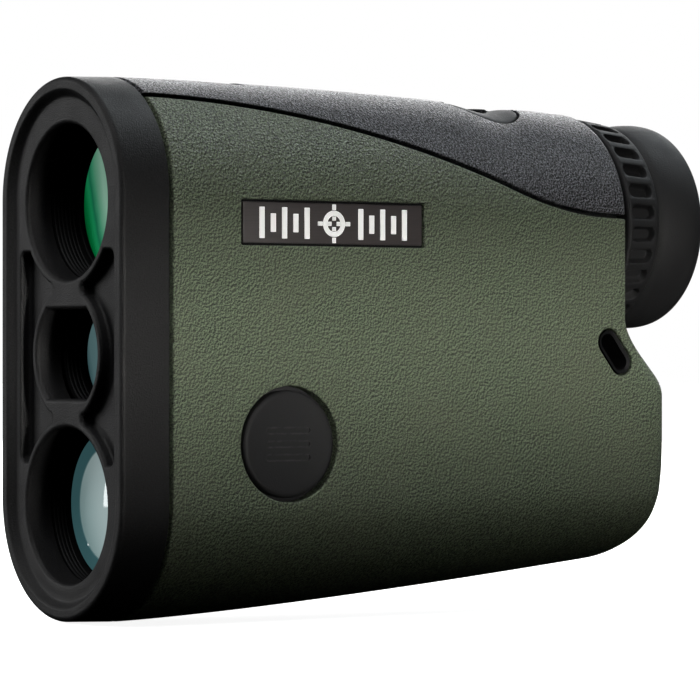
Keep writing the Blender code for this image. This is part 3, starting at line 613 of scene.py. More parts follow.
def green_material():
    """Matt dark green moulding with a wrinkled leather grain, its wrinkles given painted highlights and
    painted shade in the colour.
    """
    base = (0.099, 0.128, 0.080)
    s = Surface("green_shell", base, 0.42, specular_ior_level=0.5)
    warp = s.vector("SUBTRACT", s.noise(1.2, 2.0, output="Color"), (0.5, 0.5, 0.5))
    bent = s.vector("ADD", s.mm, s.vector("SCALE", warp, scale=0.25))
    pebbles = s.span(s.cells(2.6, bent), 0.1, 0.6, 1.0, 0.0, smooth=True)
    creases = s.noise(3.1, 3.0, 0.6, bent)
    grain = s.math("ADD", s.math("MULTIPLY", pebbles, 0.30), s.math("MULTIPLY", creases, 0.95))
    # painted highlight and painted shade: each wrinkle is lighter on its side towards the front and top,
    # darker on the other
    relief = s.span(s.relief(2.7, 3.0, 0.62, bent, (0.0, -0.08, 0.12)), -0.065, 0.065)
    clouds = s.span(s.noise(0.09, 3.0), 0.3, 0.7)
    colour = s.ramp(relief, shades(base, (0.0, 0.18), (0.35, 0.85), (0.7, 1.0), (1.0, 1.9)))
    warmer = s.blend(s.math("MULTIPLY", clouds, 0.30), colour, (0.112, 0.118, 0.078))
    s.worn(warmer, 0.5, 0.25, (0.20, 0.25, 0.18))
    s.roughness_from(s.span(grain, 0.42, 0.85, 0.55, 0.34))
    s.bump(grain, 0.40)
    return s.material


def cover_material():
    """Charcoal moulding with a coarse spark-eroded grain, whose sparkle is painted: painted highlights on the
    grain's lit sides and painted shade on the others.
    """
    base = (0.020, 0.020, 0.0225)
    s = Surface("black_cover", base, 0.4, specular_ior_level=0.3)
    pits = s.cells(2.6, feature="F1")
    lumps = s.noise(3.0, 3.0, 0.7)
    grain = s.math("ADD", s.math("MULTIPLY", pits, 0.6), lumps)
    # painted highlights and painted shade: the brightest stop paints glints on the grain's sides towards the
    # front and top
    relief = s.span(s.relief(3.0, 2.0, 0.7, s.mm, (0.0, -0.10, 0.14)), -0.06, 0.06)
    colour = s.ramp(relief, shades(base, (0.0, 0.1), (0.4, 0.6), (0.65, 1.4), (1.0, 8.0)))
    s.worn(colour, 0.4, 0.5, (0.11, 0.11, 0.115))
    s.roughness_from(s.span(s.noise(3.5, 1.0), 0.3, 0.7, 0.30, 0.55))
    s.bump(grain, 0.40)
    return s.material


def bezel_material():
    """Satin black moulding with a very fine grain, a little polished on its edges."""
    base = (0.0088, 0.0088, 0.0093)
    s = Surface("black_bezel", base, 0.5, specular_ior_level=0.2)
    fine = s.noise(4.2, 3.0, 0.65)
    broad = s.noise(0.25, 3.0)
    colour = s.ramp(fine, shades(base, (0.3, 0.5), (0.7, 1.7)))
    s.worn(colour, 0.35, 0.45, (0.042, 0.042, 0.044), 1.2)
    worn_broad, worn_fine = s.span(broad, 0.3, 0.7, 0.44, 0.54), s.span(fine, 0.2, 0.8, -0.04, 0.06)
    s.roughness_from(s.math("ADD", worn_broad, worn_fine))
    s.bump(fine, 0.09)
    return s.material


def rubber_material():
    """Soft matt black rubber with faint handling marks."""
    base = (0.0125, 0.0125, 0.0135)
    s = Surface("rubber", base, 0.65, specular_ior_level=0.3)
    skin = s.noise(4.0, 3.0, 0.65)
    marks = s.noise(0.35, 4.0, 0.6, distortion=0.8)
    colour = s.ramp(marks, shades(base, (0.3, 0.85), (0.7, 1.25)))
    s.worn(colour, 0.4, 0.45, (0.06, 0.06, 0.063))
    s.roughness_from(s.span(marks, 0.3, 0.7, 0.58, 0.72))
    s.bump(skin, 0.05)
    return s.material


def speckled(name, colour, roughness, noise, stops, uneven, depth_mm, stretch=None, **sockets):
    """A material with one noise in its colour, its roughness, which is uneven by two steps, and its bump."""
    s = Surface(name, colour, roughness, **sockets)
    where = s.vector("MULTIPLY", s.mm, stretch) if stretch else None
    grain = s.noise(*noise, where=where)
    s.colour_from(s.ramp(grain, shades(colour, *stops)))
    low, high, down, up = uneven
    s.roughness_from(s.span(grain, low, high, roughness - down, roughness + up))
    s.bump(grain, depth_mm)
    return s.material


def badge_material():
    """Brushed plate."""
    brush = {"noise": (2.0, 3.0, 0.6), "stretch": (1.0, 0.12, 4.0)}
    stops = ((0.3, 0.88), (0.7, 1.12))
    return speckled("badge_plate", (0.048, 0.041, 0.041), 0.42, stops=stops, uneven=(0.3, 0.7, 0.04, 0.06),
                    depth_mm=0.006, **brush)


def white_material():
    """White print with a painted glow, so that it shows a little brighter than the light on it."""
    s = Surface("white_mark", (1.0, 1.0, 0.99), 0.4)
    ink = s.noise(5.0, 3.0)
    colour = s.ramp(ink, shades((1.0, 1.0, 0.99), (0.25, 0.93), (0.7, 1.0)))
    s.colour_from(colour)
    # painted glow: the print gives off its own colour
    s.glow_from(colour, 0.2)
    s.bump(ink, 0.008)
    return s.material


def metal_material(name, colour, roughness):
    """Turned or plated metal with fine tool marks."""
    stops = ((0.25, 0.85), (0.75, 1.1))
    uneven = (0.2, 0.8, 0.06, 0.08)
    return speckled(name, colour, roughness, (6.0, 2.0, 0.6), stops, uneven, 0.01, metallic=1.0)


def anodised_material():
    """Black anodised barrel wall, bead-blasted so that it swallows stray light."""
    stops = ((0.3, 0.7), (0.7, 1.4))
    return speckled("anodised", (0.004, 0.004, 0.0045), 0.6, (7.0, 2.0), stops, (0.2, 0.8, 0.1, 0.1), 0.015,
                    specular_ior_level=0.15)


def moulding_material(name, colour, roughness):
    """Plain moulded plastic of the inner pieces."""
    stops = ((0.3, 0.85), (0.7, 1.15))
    return speckled(name, colour, roughness, (5.0, 2.0), stops, (0.2, 0.8, 0.08, 0.08), 0.015)


def board_material():
    """Green solder mask over copper tracks."""
    mask = (0.012, 0.12, 0.05)
    s = Surface("circuit_board", mask, 0.4)
    tracks = s.cells(0.45, feature="DISTANCE_TO_EDGE")
    copper = s.span(tracks, 0.10, 0.13, 1.0, 0.0)
    s.colour_from(s.blend(s.math("MULTIPLY", copper, 0.6), mask, (0.05, 0.24, 0.09)))
    s.roughness_from(s.span(s.noise(3.0), 0.2, 0.8, 0.32, 0.45))
    s.bump(copper, 0.02)
    return s.material


def glass_material(name, tint, roughness):
    """Clear or tinted optical glass for the pieces inside."""
    s = Surface(name, tint, roughness, ior=1.52, transmission_weight=0.85)
    s.roughness_from(s.span(s.noise(0.4, 3.0), 0.3, 0.7, roughness, roughness + 0.03))
    return s.material


def lens_material(name, stops, middle_z, radius, glow, flange=None):
    """Coated lens: the coating's tint with a painted reflection across it, lighter towards +X and the top and
    deeper towards its lower edge, given off again as a painted glow. flange is the share of the radius where
    a rim of another colour starts, and that colour."""
    s = Surface(name, stops[-1][1], 0.06, coat_weight=0.5, coat_roughness=0.03, specular_ior_level=0.6)
    across = s.math("MULTIPLY", s.along("X"), 1 / radius)
    upward = s.math("MULTIPLY", s.math("SUBTRACT", s.along("Z"), middle_z), 1 / radius)
    faint = s.math("MULTIPLY", s.math("SUBTRACT", s.noise(0.15, 2.0), 0.5), 0.2)
    # painted reflection: the colour runs lighter towards +X and the top, in place of the lamps' reflection
    painted_reflection = s.math("ADD", s.math("ADD", s.math("MULTIPLY", upward, 0.35), across), faint)
    colour = s.ramp(s.span(painted_reflection, -1.2, 0.2), stops)
    if flange:
        reach = s.math("SQRT", s.math("ADD", *(s.math("POWER", way, 2.0) for way in (across, upward))))
        colour = s.blend(s.span(reach, flange[0] - 0.01, flange[0] + 0.01), colour, flange[1])
    s.colour_from(colour)
    # painted glow: the lens gives off its own colour
    s.glow_from(colour, glow)
    return s.material


# ---- pieces


def finish(obj, material, body, slot, *nodes, sharp=32.0):
    """Files a piece: smooth faces, material, the body it rides on and what it stands for. Its slot is not
    used.
    """
    obj.data.materials.clear()
    obj.data.materials.append(material)
    obj.data.shade_smooth()
    obj.data.set_sharp_from_angle(angle=math.radians(sharp))
    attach(obj, body)
    if nodes:
        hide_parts(*nodes)
    return obj


def keep_flat_faces(obj):
    """Weighs the shading by face area, so that flats stay flat beside small round edges."""
    step = obj.modifiers.new("flats", "WEIGHTED_NORMAL")
    step.mode = "FACE_AREA"
    step.weight = 100
    step.keep_sharp = True
    return obj


def body_lattice(rows, columns, inset, way_of, middle):
    """(x, depth, height) over one side of the body and its rear wall. rows holds (share, offset in mm) pairs
    and way_of turns a share into a way. columns holds (part, value, offset): part 0 runs along the body,
    1 round the rear edge, 2 across the rear wall towards x = middle and 3 round the edge there. inset is one
    number or a lattice."""
    share, row_offset = (np.array(a)[:, None] for a in zip(*rows))
    part, value, offset = (np.array(a)[None, :] for a in zip(*columns))
    inset = np.broadcast_to(inset, (len(rows), len(columns))).astype(float)
    row_offset = row_offset * np.abs(1 - share)
    depth = np.full_like(inset, EYE_WALL)
    for _ in range(12):
        way = way_of(share, depth, inset)
        way = way + row_offset / way_length(way)
        x, height, out_x, out_z = outline(way, depth, inset)
        depth = rear_depth(height) - inset
    slope = (rear_depth(height + 0.05) - rear_depth(height - 0.05)) / 0.1
    facing = np.abs(out_z * slope) / np.sqrt(1 + slope**2)
    radius = np.maximum((edge_radius(height) - inset) * np.sqrt(np.maximum(1 - facing**2, 0)), 0.15)
    start = SHELL_FRONT + offset
    here = start + value * (depth - radius - start)
    way = way_of(share, here, inset)
    way = way + row_offset / way_length(way)
    body_x, body_z = outline(way, here, inset)[:2]
    turn = np.where(part == 1, value, QUARTER)
    pull = radius * (1 - np.cos(turn))
    edge_x, edge_z = x - pull * out_x, height - pull * out_z
    edge_depth = rear_depth(edge_z) - inset - radius * (1 - np.sin(turn))
    roll = min(SPLIT_ROLL, middle)
    reach = np.minimum(roll, np.maximum(edge_x - middle, 0) / 2)
    across = edge_x + value * (middle + reach - edge_x)
    rolled = middle + reach * offset / SPLIT_ROLL
    wall_x = np.where(part == 2, across, np.where(part == 3, rolled, edge_x))
    along_body = np.broadcast_to(part == 0, inset.shape)
    return np.stack(
        [
            np.where(along_body, body_x, wall_x),
            np.where(along_body, here, edge_depth),
            np.where(along_body, body_z, edge_z),
        ],
        axis=-1,
    )


def body_skin(name, rows, way_of, middle, **thick):
    """One side of a skin, WALL thick. It runs along the body, round the rear edge and over the rear wall to
    x = middle. rows holds (share, offset, near, roll): near is the distance to a border rounded by roll."""
    columns = [(0, 0.0, near, near, SEAM_ROLL) for near in roll_distances(SEAM_ROLL)]
    columns += [(0, k / 84, SEAM_ROLL, *NO_BORDER) for k in range(1, 85)]
    columns += [(1, math.radians(a), 0.0, *NO_BORDER) for a in (12, 24, 36, 48, 60, 72, 81, 90)]
    columns += [(2, k / 16, 0.0, *NO_BORDER) for k in range(1, 17)]
    if middle:
        columns += [(3, 1.0, near, near, SPLIT_ROLL) for near in roll_distances(SPLIT_ROLL, 3)[-2::-1]]
    drops = []
    for row_or_column in (rows, columns):
        near, roll = (np.array(a) for a in list(zip(*row_or_column))[-2:])
        away = np.clip(1 - near / roll, 0, 1)
        drops.append(roll * (1 - np.sqrt(1 - away**2)))
    inset = np.maximum(drops[0][:, None], drops[1][None, :])
    rows, columns = [row[:2] for row in rows], [column[:3] for column in columns]
    outer, inner = (body_lattice(rows, columns, drop, way_of, middle) for drop in (inset, WALL))
    return thick_skin(name, outer, inner, **thick)


def shell_skin(name):
    """Skin of one green half, below the seam."""

    def way_of(share, depth, inset):
        start = np.arcsin(GAP / 2 / (HALF_WIDTH - inset)) / QUARTER
        top = seam_way(depth, inset, -GROOVE / 2)
        return np.where(share <= 1, start + share * (1 - start), 1 + (share - 1) * (top - 1))

    rows = [(0.0, near, near, SPLIT_ROLL) for near in roll_distances(SPLIT_ROLL, 3)]
    shares = [k / 28 for k in range(1, 29)] + [1 + k / 52 for k in range(1, 52)]
    rows += [(share, SPLIT_ROLL if share < 1 else -SEAM_ROLL, *NO_BORDER) for share in shares]
    rows += [(2.0, -near, near, SEAM_ROLL) for near in reversed(roll_distances(SEAM_ROLL))]
    return body_skin(name, rows, way_of, GAP / 2)


def cover_skin(name):
    """Skin of one half of the top cover, above the seam."""

    def way_of(share, depth, inset):
        low = seam_way(depth, inset, GROOVE / 2)
        return low + share * (3 - low)

    rows = [(0.0, near, near, SEAM_ROLL) for near in roll_distances(SEAM_ROLL)]
    rows += [(k / 40, SEAM_ROLL, *NO_BORDER) for k in range(1, 41)]
    return body_skin(name, rows, way_of, 0.0, open_ends=True)


def oblong(length, width, a, b, tilt, count=16):
    """Round-ended slot outline, its long axis turned by tilt."""
    radius, reach = width / 2, (length - width) / 2
    points = []
    for side in (1, -1):
        for k in range(count + 1):
            angle = math.pi * (k / count - 0.5) + (0 if side > 0 else math.pi)
            points.append((side * reach + radius * math.cos(angle), radius * math.sin(angle)))
    cos, sin = math.cos(tilt), math.sin(tilt)
    return [(a + p * cos - q * sin, b + p * sin + q * cos) for p, q in points]


def rounded_rectangle(low_a, low_b, high_a, high_b, corner, count=5):
    points = []
    middles = [(high_a - corner, high_b - corner), (low_a + corner, high_b - corner)]
    middles += [(low_a + corner, low_b + corner), (high_a - corner, low_b + corner)]
    for quarter, (a, b) in enumerate(middles):
        for k in range(count + 1):
            angle = QUARTER * (quarter + k / count)
            points.append((a + corner * math.cos(angle), b + corner * math.sin(angle)))
    return points


def outline_cutter(name, outline_of, stations):
    """Cutter from an outline. stations holds (margin, position along x) pairs and outline_of gives
    (depth, height) points."""
    return loft(name, [[(x, d, z) for d, z in outline_of(margin)] for margin, x in stations])


def side_cutter(name, outline_of, lip, floor):
    """Cutter into the flat side at +X, with a rounded mouth."""
    mouth = [(wide, HALF_WIDTH - drop) for wide, drop in reversed(mouth_pairs(lip))]
    stations = [(lip, HALF_WIDTH + 1.0), (lip, HALF_WIDTH), *mouth[1:], (0.0, floor)]
    return outline_cutter(name, outline_of, stations)


def badge_outline(margin):
    grow = BADGE_MARGIN + margin
    low, high = (BADGE_FRONT - grow, BADGE_LOW - grow), (BADGE_REAR + grow, BADGE_HIGH + grow)
    return rounded_rectangle(*low, *high, 0.3 + margin)


def slot_outline(margin):
    return oblong(SLOT_LENGTH + 2 * margin, SLOT_WIDTH + 2 * margin, SLOT_DEPTH, SLOT_Z, SLOT_TILT)


def eye_hole():
    return turned("eye_hole", lipped(EYE_HOLE_R, EYE_WALL, 0.2, 80.0, ALL_PAST), height=EYE_Z)


def side_shell(side, material):
    name = "left_shell" if side > 0 else "right_shell"
    soft = [(COLLAR_R, HEEL - 0.4), (COLLAR_R - 0.12, HEEL - 0.12), (COLLAR_R - 0.4, HEEL)]
    collar = turned("collar", [(0, 90), (COLLAR_R, 90), *soft, (0, HEEL)], height=BATTERY_Z)
    half = block("half", (-30, 80, 0), (GAP / 2, 110, 60))
    shell = join(shell_skin(name + "_skin"), cut(collar, half))
    relief_r, relief = RING_R + RING_CLEARANCE, EYE_WALL + 0.05
    relief = [(0, relief), (relief_r, relief), (relief_r, ALL_PAST), (0, ALL_PAST)]
    cutters = [
        eye_hole(),
        turned("ring_relief", relief, height=EYE_Z),
        turned("cap_hole", lipped(CAP_HOLE_R, HEEL, 0.3, 85.0, ALL_PAST), height=BATTERY_Z),
        side_cutter("badge_recess", badge_outline, 0.15, HALF_WIDTH - BADGE_RECESS),
        side_cutter("slot", lambda margin: slot_outline(GAP + margin), LIP, 10.0),
    ]
    if side > 0:
        mouth = lipped(MENU_HOLE_R, HALF_WIDTH, LIP, 10.0, 20.0)
        cutters.append(turned("menu_hole", mouth, axis="X", depth=MENU_DEPTH, height=MENU_Z))
    shell = on_side(side, cut(shell, *cutters))
    return finish(keep_flat_faces(shell), material, "housing", "green_shell", name)


def measure_outline(margin, count=96):
    turns = [2 * math.pi * k / count for k in range(count)]
    half_width, half_length = MEASURE_WIDTH / 2 + margin, MEASURE_LENGTH / 2 + margin
    return [(half_width * math.cos(t), MEASURE_DEPTH + half_length * math.sin(t)) for t in turns]


def top_cover(material):
    cover = mirrored(cover_skin("top_cover_skin"))
    mouth = [(MEASURE_GAP + wide, -drop) for wide, drop in reversed(mouth_pairs(LIP))]
    stations = [(MEASURE_GAP + LIP, 3.0), *mouth, (MEASURE_GAP, -7.0)]
    well = []
    for margin, rise in stations:
        well.append([(x, d, float(top_surface(x, d)) + rise) for x, d in measure_outline(margin)])
    corners = [(MARK_FRONT, 0.02), (MARK_REAR, -MARK_DEPTH), (MARK_REAR, 3.0), (MARK_FRONT, 3.0)]
    ramp = [(depth, crest_line(depth) + up) for depth, up in corners]
    recess = [[(x, *point) for point in ramp] for x in (-MARK_HALF_WIDTH, MARK_HALF_WIDTH)]
    cover = cut(cover, loft("button_well", well), loft("mark_recess", recess), eye_hole())
    return finish(keep_flat_faces(cover), material, "housing", "black_cover", "top_cover")


def seam_lip(side, material):
    """Lip of the cover that runs behind the seam and closes it to light. It is a real tongue of the cover,
    given the near-black anodised colour, darker than the cover, as painted shade in the seam groove.
    """
    reach, near, far = 1.2, WALL + 0.03, WALL + 0.5
    corners = [(near, -reach), (near, reach), (far, reach), (far, -reach)]
    rings = []
    for depth in np.linspace(SHELL_FRONT + 0.2, EYE_WALL - WALL - 0.3, 40):
        ring = [outline(seam_way(depth, inset, shift), depth, inset)[:2] for inset, shift in corners]
        rings.append([(float(x), depth, float(height)) for x, height in ring])
    lip = loft("left_seam_lip" if side > 0 else "right_seam_lip", rings)
    return finish(on_side(side, lip), material, "housing", "black_cover")


# ---- front bezel


def front_seal(material):
    """Gasket squeezed between the bezel's groove and the front of the shells."""
    stations = [(6.5, 1.5), (SHELL_FRONT - 0.02, 1.5), (SHELL_FRONT - 0.02, 2.1), (6.5, 2.1)]
    seal = closed_lattice("front_gasket", [full_ring(depth, inset) for depth, inset in stations])
    return finish(seal, material, "housing", "rubber", "front_seal")


def full_ring(depth, inset, count=64):
    """Closed cross-section at the bezel, from the bottom centre round +X."""
    arcs = [np.linspace(0, 1, count + 1)[:-1], np.linspace(1, 2, 13)[:-1], np.linspace(2, 3, count + 1)]
    ways = np.concatenate(arcs)
    x, z = outline(ways, np.full_like(ways, SHELL_FRONT), inset)[:2]
    half = list(zip(x, z))
    return [(a, depth, b) for a, b in half + [(-a, b) for a, b in reversed(half[1:-1])]]


def arc_between(radius, centre_z, start, end, count=20):
    """Arc on the +X side of a ring about (0, centre_z), between two points given as (x, up or down)."""
    turns = [math.atan2(way * math.sqrt(radius**2 - x**2), x) for x, way in (start, end)]
    steps = np.linspace(turns[0], turns[1], count + 1)
    return [(radius * math.cos(t), centre_z + radius * math.sin(t)) for t in steps]


def corner_arc(a, b, radius, start, count=6):
    """Quarter arc round (a, b), from an angle in quarters."""
    turns = [QUARTER * (start - k / count) for k in range(count + 1)]
    return [(a + radius * math.cos(t), b + radius * math.sin(t)) for t in turns]


def notch(start, end, count=8):
    """Points of a half circle that goes inwards between two points one above the other, without its ends."""
    radius, middle = (end[1] - start[1]) / 2, (end[1] + start[1]) / 2
    turns = [math.pi * k / count for k in range(1, count)]
    return [(start[0] - radius * math.sin(t), middle - radius * math.cos(t)) for t in turns]


def pocket_outline(side, margin):
    """The deeper pocket beside the three openings, bounded by the walls around them, grown by margin."""
    big, small = OPENING_R + RING_WALL - margin, EMIT_OPENING_R + RING_WALL - margin
    neck, outer = NECK - margin, POCKET_SIDE + margin
    top, bottom = POCKET_TOP + margin, POCKET_BOTTOM - margin
    corner = POCKET_CORNER + margin
    low_x = math.sqrt(big**2 - (bottom - RECV_Z) ** 2)
    high_x = math.sqrt(big**2 - (VIEW_Z - top) ** 2)
    points = corner_arc(outer - corner, top - corner, corner, 1)
    points += corner_arc(outer - corner, bottom + corner, corner, 0)
    points += arc_between(big, RECV_Z, (low_x, 1), (neck, 1))
    points += notch(points[-1], (neck, EMIT_Z - math.sqrt(small**2 - neck**2)))
    points += arc_between(small, EMIT_Z, (neck, -1), (neck, 1), 36)
    points += notch(points[-1], (neck, VIEW_Z - math.sqrt(big**2 - neck**2)))
    points += arc_between(big, VIEW_Z, (neck, -1), (high_x, -1))
    return [(side * x, z) for x, z in points]


def emitter_outline(margin, count=24):
    """Circle with its top and bottom cut flat."""
    radius, flat = EMIT_OPENING_R + margin, EMIT_FLAT + margin
    corner = math.asin(flat / radius)
    half = [corner * (k / count - 1) for k in range(2 * count + 1)]
    turns = half + [math.pi + t for t in half]
    return [(radius * math.cos(t), EMIT_Z + radius * math.sin(t)) for t in turns]


def circle_outline(centre_z, radius, count=144):
    turns = [2 * math.pi * k / count for k in range(count)]
    return [(radius * math.cos(t), centre_z + radius * math.sin(t)) for t in turns]


def window_outline(centre_z):
    return lambda margin: circle_outline(centre_z, OPENING_R + margin)


def front_cutter(name, outline_of, lip, deep, foot=0.0):
    """Cutter into the bezel's floor: rounded mouth, straight wall, rounded foot at deep."""
    stations = [(lip, -2.0), (lip, FLOOR)]
    stations += [(wide, FLOOR + drop) for wide, drop in reversed(mouth_pairs(lip))][1:]
    if foot:
        stations += [(-foot + rise, deep - fall) for fall, rise in foot_pairs(foot)]
    else:
        stations.append((0.0, deep))
    return loft(name, [[(x, depth, z) for x, z in outline_of(margin)] for margin, depth in stations])


def foot_pairs(radius, steps=5):
    """(height above the floor, distance in from the wall's inside) round a concave foot, top first."""
    turns = np.linspace(0, QUARTER, steps + 1)
    return [(radius * (1 - math.sin(t)), radius * math.cos(t)) for t in turns]


def bezel_inset(depth):
    within = max(BEZEL_EDGE - depth, 0.0)
    edge = BEZEL_EDGE - math.sqrt(BEZEL_EDGE**2 - within**2)
    return BEZEL_DRAFT * (1 - depth / SHELL_FRONT) + edge


def recess_cutter():
    """Cutter of the dished face inside the rim: rounded lip, steep wall, soft foot, floor rising inwards."""
    start, wide = 1.75, 1.45
    shares = np.linspace(0, 1, 13)
    profile = [(start, -1.0)] + [(start + wide * t, 1.08 * float(smoothstep(t))) for t in shares]
    profile += [(3.9, 1.06), (5.2, FLOOR)]
    return loft("recess", [full_ring(depth, inset) for inset, depth in profile])


def front_bezel(material):
    front = [BEZEL_EDGE * (1 - math.sin(QUARTER * k / 8)) for k in range(9)][::-1]
    stations = [(d, bezel_inset(d)) for d in (*front, 2.5, 5.0, BEZEL_BACK - BEZEL_REAR_EDGE)]
    for turn in (QUARTER / 3, QUARTER * 2 / 3, QUARTER):
        depth = BEZEL_BACK - BEZEL_REAR_EDGE * (1 - math.sin(turn))
        stations.append((depth, bezel_inset(BEZEL_BACK) + BEZEL_REAR_EDGE * (1 - math.cos(turn))))
    bezel = loft("front_bezel_skin", [full_ring(depth, inset) for depth, inset in stations])
    groove = loft("groove", [full_ring(6.2, 1.2), full_ring(9.0, 1.2)])
    bezel = cut(
        bezel,
        recess_cutter(),
        *(front_cutter(f"{name}_pocket", lambda margin: pocket_outline(side, margin), 0.5, POCKET_DEPTH, 0.5)
          for name, side in (("left", 1), ("right", -1))),
        front_cutter("view_hole", window_outline(VIEW_Z), WINDOW_LIP, 9.0),
        front_cutter("emit_hole", emitter_outline, WINDOW_LIP, 9.0),
        front_cutter("recv_hole", window_outline(RECV_Z), WINDOW_LIP, 9.0),
        loft("back", [full_ring(5.0, 3.2), full_ring(9.0, 3.2)]),
        cut(groove, loft("groove_core", [full_ring(6.0, 2.4), full_ring(9.5, 2.4)])),
    )
    return finish(keep_flat_faces(bezel), material, "housing", "black_bezel", "front_bezel")


# ---- lenses and barrels


def lens_profile(radius, front, front_sag, rear, rear_sag, steps=16):
    """Closed half section of a lens between its two vertices."""

    def face(vertex, sag):
        bend = (radius**2 + sag**2) / (2 * abs(sag))
        side = math.copysign(1.0, sag)
        radii = [radius * k / steps for k in range(steps + 1)]
        return [(r, vertex + side * (bend - math.sqrt(bend**2 - r**2))) for r in radii]

    return face(front, front_sag) + list(reversed(face(rear, -rear_sag)))


def baffled(inner, front, rear, count, cut_depth=0.12):
    """Inside wall with fine anti-glare grooves, from the rear forwards."""
    points = []
    pitch = (rear - front) / count
    for k in range(count):
        high = rear - k * pitch
        points += [(inner, high), (inner, high - pitch * 0.45), (inner + cut_depth, high - pitch * 0.7)]
    return points + [(inner, front)]


def shown_only(obj):
    """Keeps the painted glow of a lens and the glow of the floor off the pieces around it."""
    obj.visible_diffuse = False
    obj.visible_glossy = False


def front_optics(black, lenses):
    def piece(name, profile, height, material, slot, node):
        return finish(turned(name, profile, height=height), material, "housing", slot, node)

    wall = [(12.0, BARREL_FRONT), (12.0, 28.0), (9.8, 28.0), (9.8, 15.3), (10.9, 15.3)]
    wall += baffled(10.9, BARREL_FRONT, 9.0, 6)
    piece("objective_barrel_wall", wall, VIEW_Z, black, "anodised", "objective_barrel")
    glass = lens_profile(OBJECTIVE_R, 9.3, 1.0, 15.0, 0.4)
    shown_only(piece("objective_glass", glass, VIEW_Z, lenses["objective"], "coated_glass", "objective_lens"))
    ring = [(10.85, 9.9), (10.85, 9.25), (10.45, 9.25), (10.35, 9.35), (10.35, 9.9)]
    piece("objective_retainer", ring, VIEW_Z, black, "anodised", "objective_ring")
    wall = [(7.9, BARREL_FRONT), (7.9, 16.0), (5.2, 20.0), (5.2, 27.0), (3.2, 27.0), (3.2, 20.0), (6.4, 15.0)]
    wall += [(6.4, 11.7), (7.3, 11.7)] + baffled(7.3, BARREL_FRONT, 7.9, 4)
    piece("emitter_barrel_wall", wall, EMIT_Z, black, "anodised", "emitter_barrel")
    glass = lens_profile(EMITTER_R, 8.0, 0.7, 11.3, 0.3)
    shown_only(piece("emitter_glass", glass, EMIT_Z, lenses["emitter"], "clear_glass", "emitter_lens"))
    wall = [(12.0, BARREL_FRONT), (12.0, 16.0), (6.2, 42.0), (5.0, 42.0), (5.0, 41.0), (9.4, 16.0)]
    wall += [(9.4, 12.5), (11.0, 12.5)] + baffled(11.0, BARREL_FRONT, 7.7, 4)
    piece("receiver_barrel_wall", wall, RECV_Z, black, "anodised", "receiver_barrel")
    dome = [(8.2 * k / 16, 7.4 + 0.8 * (k / 16) ** 2) for k in range(17)]
    glass = dome + [(8.3, 8.3), (8.45, 8.15), (10.45, 8.05), (RECEIVER_R, 8.2), (RECEIVER_R, 11.7)]
    glass += [(10.2, 11.9), (0, 12.2)]
    shown_only(piece("receiver_glass", glass, RECV_Z, lenses["receiver"], "clear_glass", "receiver_lens"))


# ---- eyepiece


def ring_radius(station):
    """Outer radius of the dioptre ring before its grip slots are sunk."""
    taper = RING_R + (RING_REAR_R - RING_R) * (station - RING_FRONT) / (RING_REAR - RING_FRONT)
    near = np.minimum(station - RING_FRONT, RING_REAR - station)
    edge = np.clip(1 - near / 0.6, 0, 1)
    return taper - 0.6 * (1 - np.sqrt(1 - edge**2))


def diopter_ring(material):
    """Ring with rounded grip slots sunk between soft ribs."""
    around, length = RIB_SLOTS * 24, 56
    turns = np.arange(around) * 2 * math.pi / around
    eased = (1 - np.cos(np.linspace(0, math.pi, length))) / 2
    stations = RING_FRONT + (RING_REAR - RING_FRONT) * (0.35 * eased + 0.65 * np.linspace(0, 1, length))
    pitch = 2 * math.pi / RIB_SLOTS
    middle = (RING_FRONT + RING_REAR) / 2 - 0.25
    aside = (((turns % pitch) - pitch / 2) * (RING_R + RING_REAR_R) / 2)[None, :]
    along = np.maximum(np.abs(stations - middle)[:, None] - GRIP_STRAIGHT, 0)
    sunk = GRIP_DEPTH * smoothstep((GRIP_R - np.hypot(along, aside)) / GRIP_SLOPE)
    rib = RIB_RISE * smoothstep((np.abs(aside) - 0.9) / 0.5) * (along <= 1.4)
    radius = ring_radius(stations)[:, None] - sunk + rib - RIB_RISE
    inside = [(15.0, RING_REAR), (12.3, RING_REAR), (12.3, 91.2), (13.6, 91.2), (13.6, RING_FRONT)]
    grid = []
    for r, depth in [*zip(radius, stations), *inside, (15.2, RING_FRONT)]:
        grid.append(np.stack([r * np.cos(turns), np.full(around, depth), EYE_Z + r * np.sin(turns)], axis=-1))
    ring = closed_lattice("diopter_grip", grid)
    return finish(ring, material, "eyecup_ring", "rubber", "diopter_ring", sharp=50.0)


def eyecup(material):
    outside = [(14.3, 95.6), (14.75, 96.2), (15.2, 97.2), (15.5, 98.8), (15.62, 100.4), (15.6, 101.8)]
    outside += [(15.35, 103.1), (14.85, 103.95), (14.3, 104.2), (13.75, 103.9), (13.2, 102.9), (12.6, 101.6)]
    outside += [(11.9, 100.4), (11.2, 99.3)]
    inside = [(10.95, 98.9), (11.1, 98.55), (12.3, 98.4), (12.3, 95.6)]
    cup = turned("eyecup_skin", smooth_curve(outside, 5) + inside, height=EYE_Z, steps=160)
    return finish(cup, material, "eyecup_ring", "rubber", "eyecup", sharp=40.0)


def eyepiece(black, glass):
    inside = [(10.6, 98.0), (10.6, 97.2), (10.3, 97.0), (10.3, 84.1), (8.6, 84.1), (8.6, 69.0)]
    cell = [(9.6, 69.0), (9.6, 82.9), (11.9, 82.9), (11.9, 97.7), (11.7, 98.0)] + inside
    finish(turned("eye_cell_wall", cell, height=EYE_Z), black, "eyepiece_cell", "anodised", "eye_lens_cell")
    lens = turned("eye_glass", lens_profile(EYE_LENS_R, 91.6, 0.6, 96.4, 1.4), height=EYE_Z)
    finish(lens, glass, "eyepiece_cell", "coated_glass", "eye_lens")


# ---- buttons


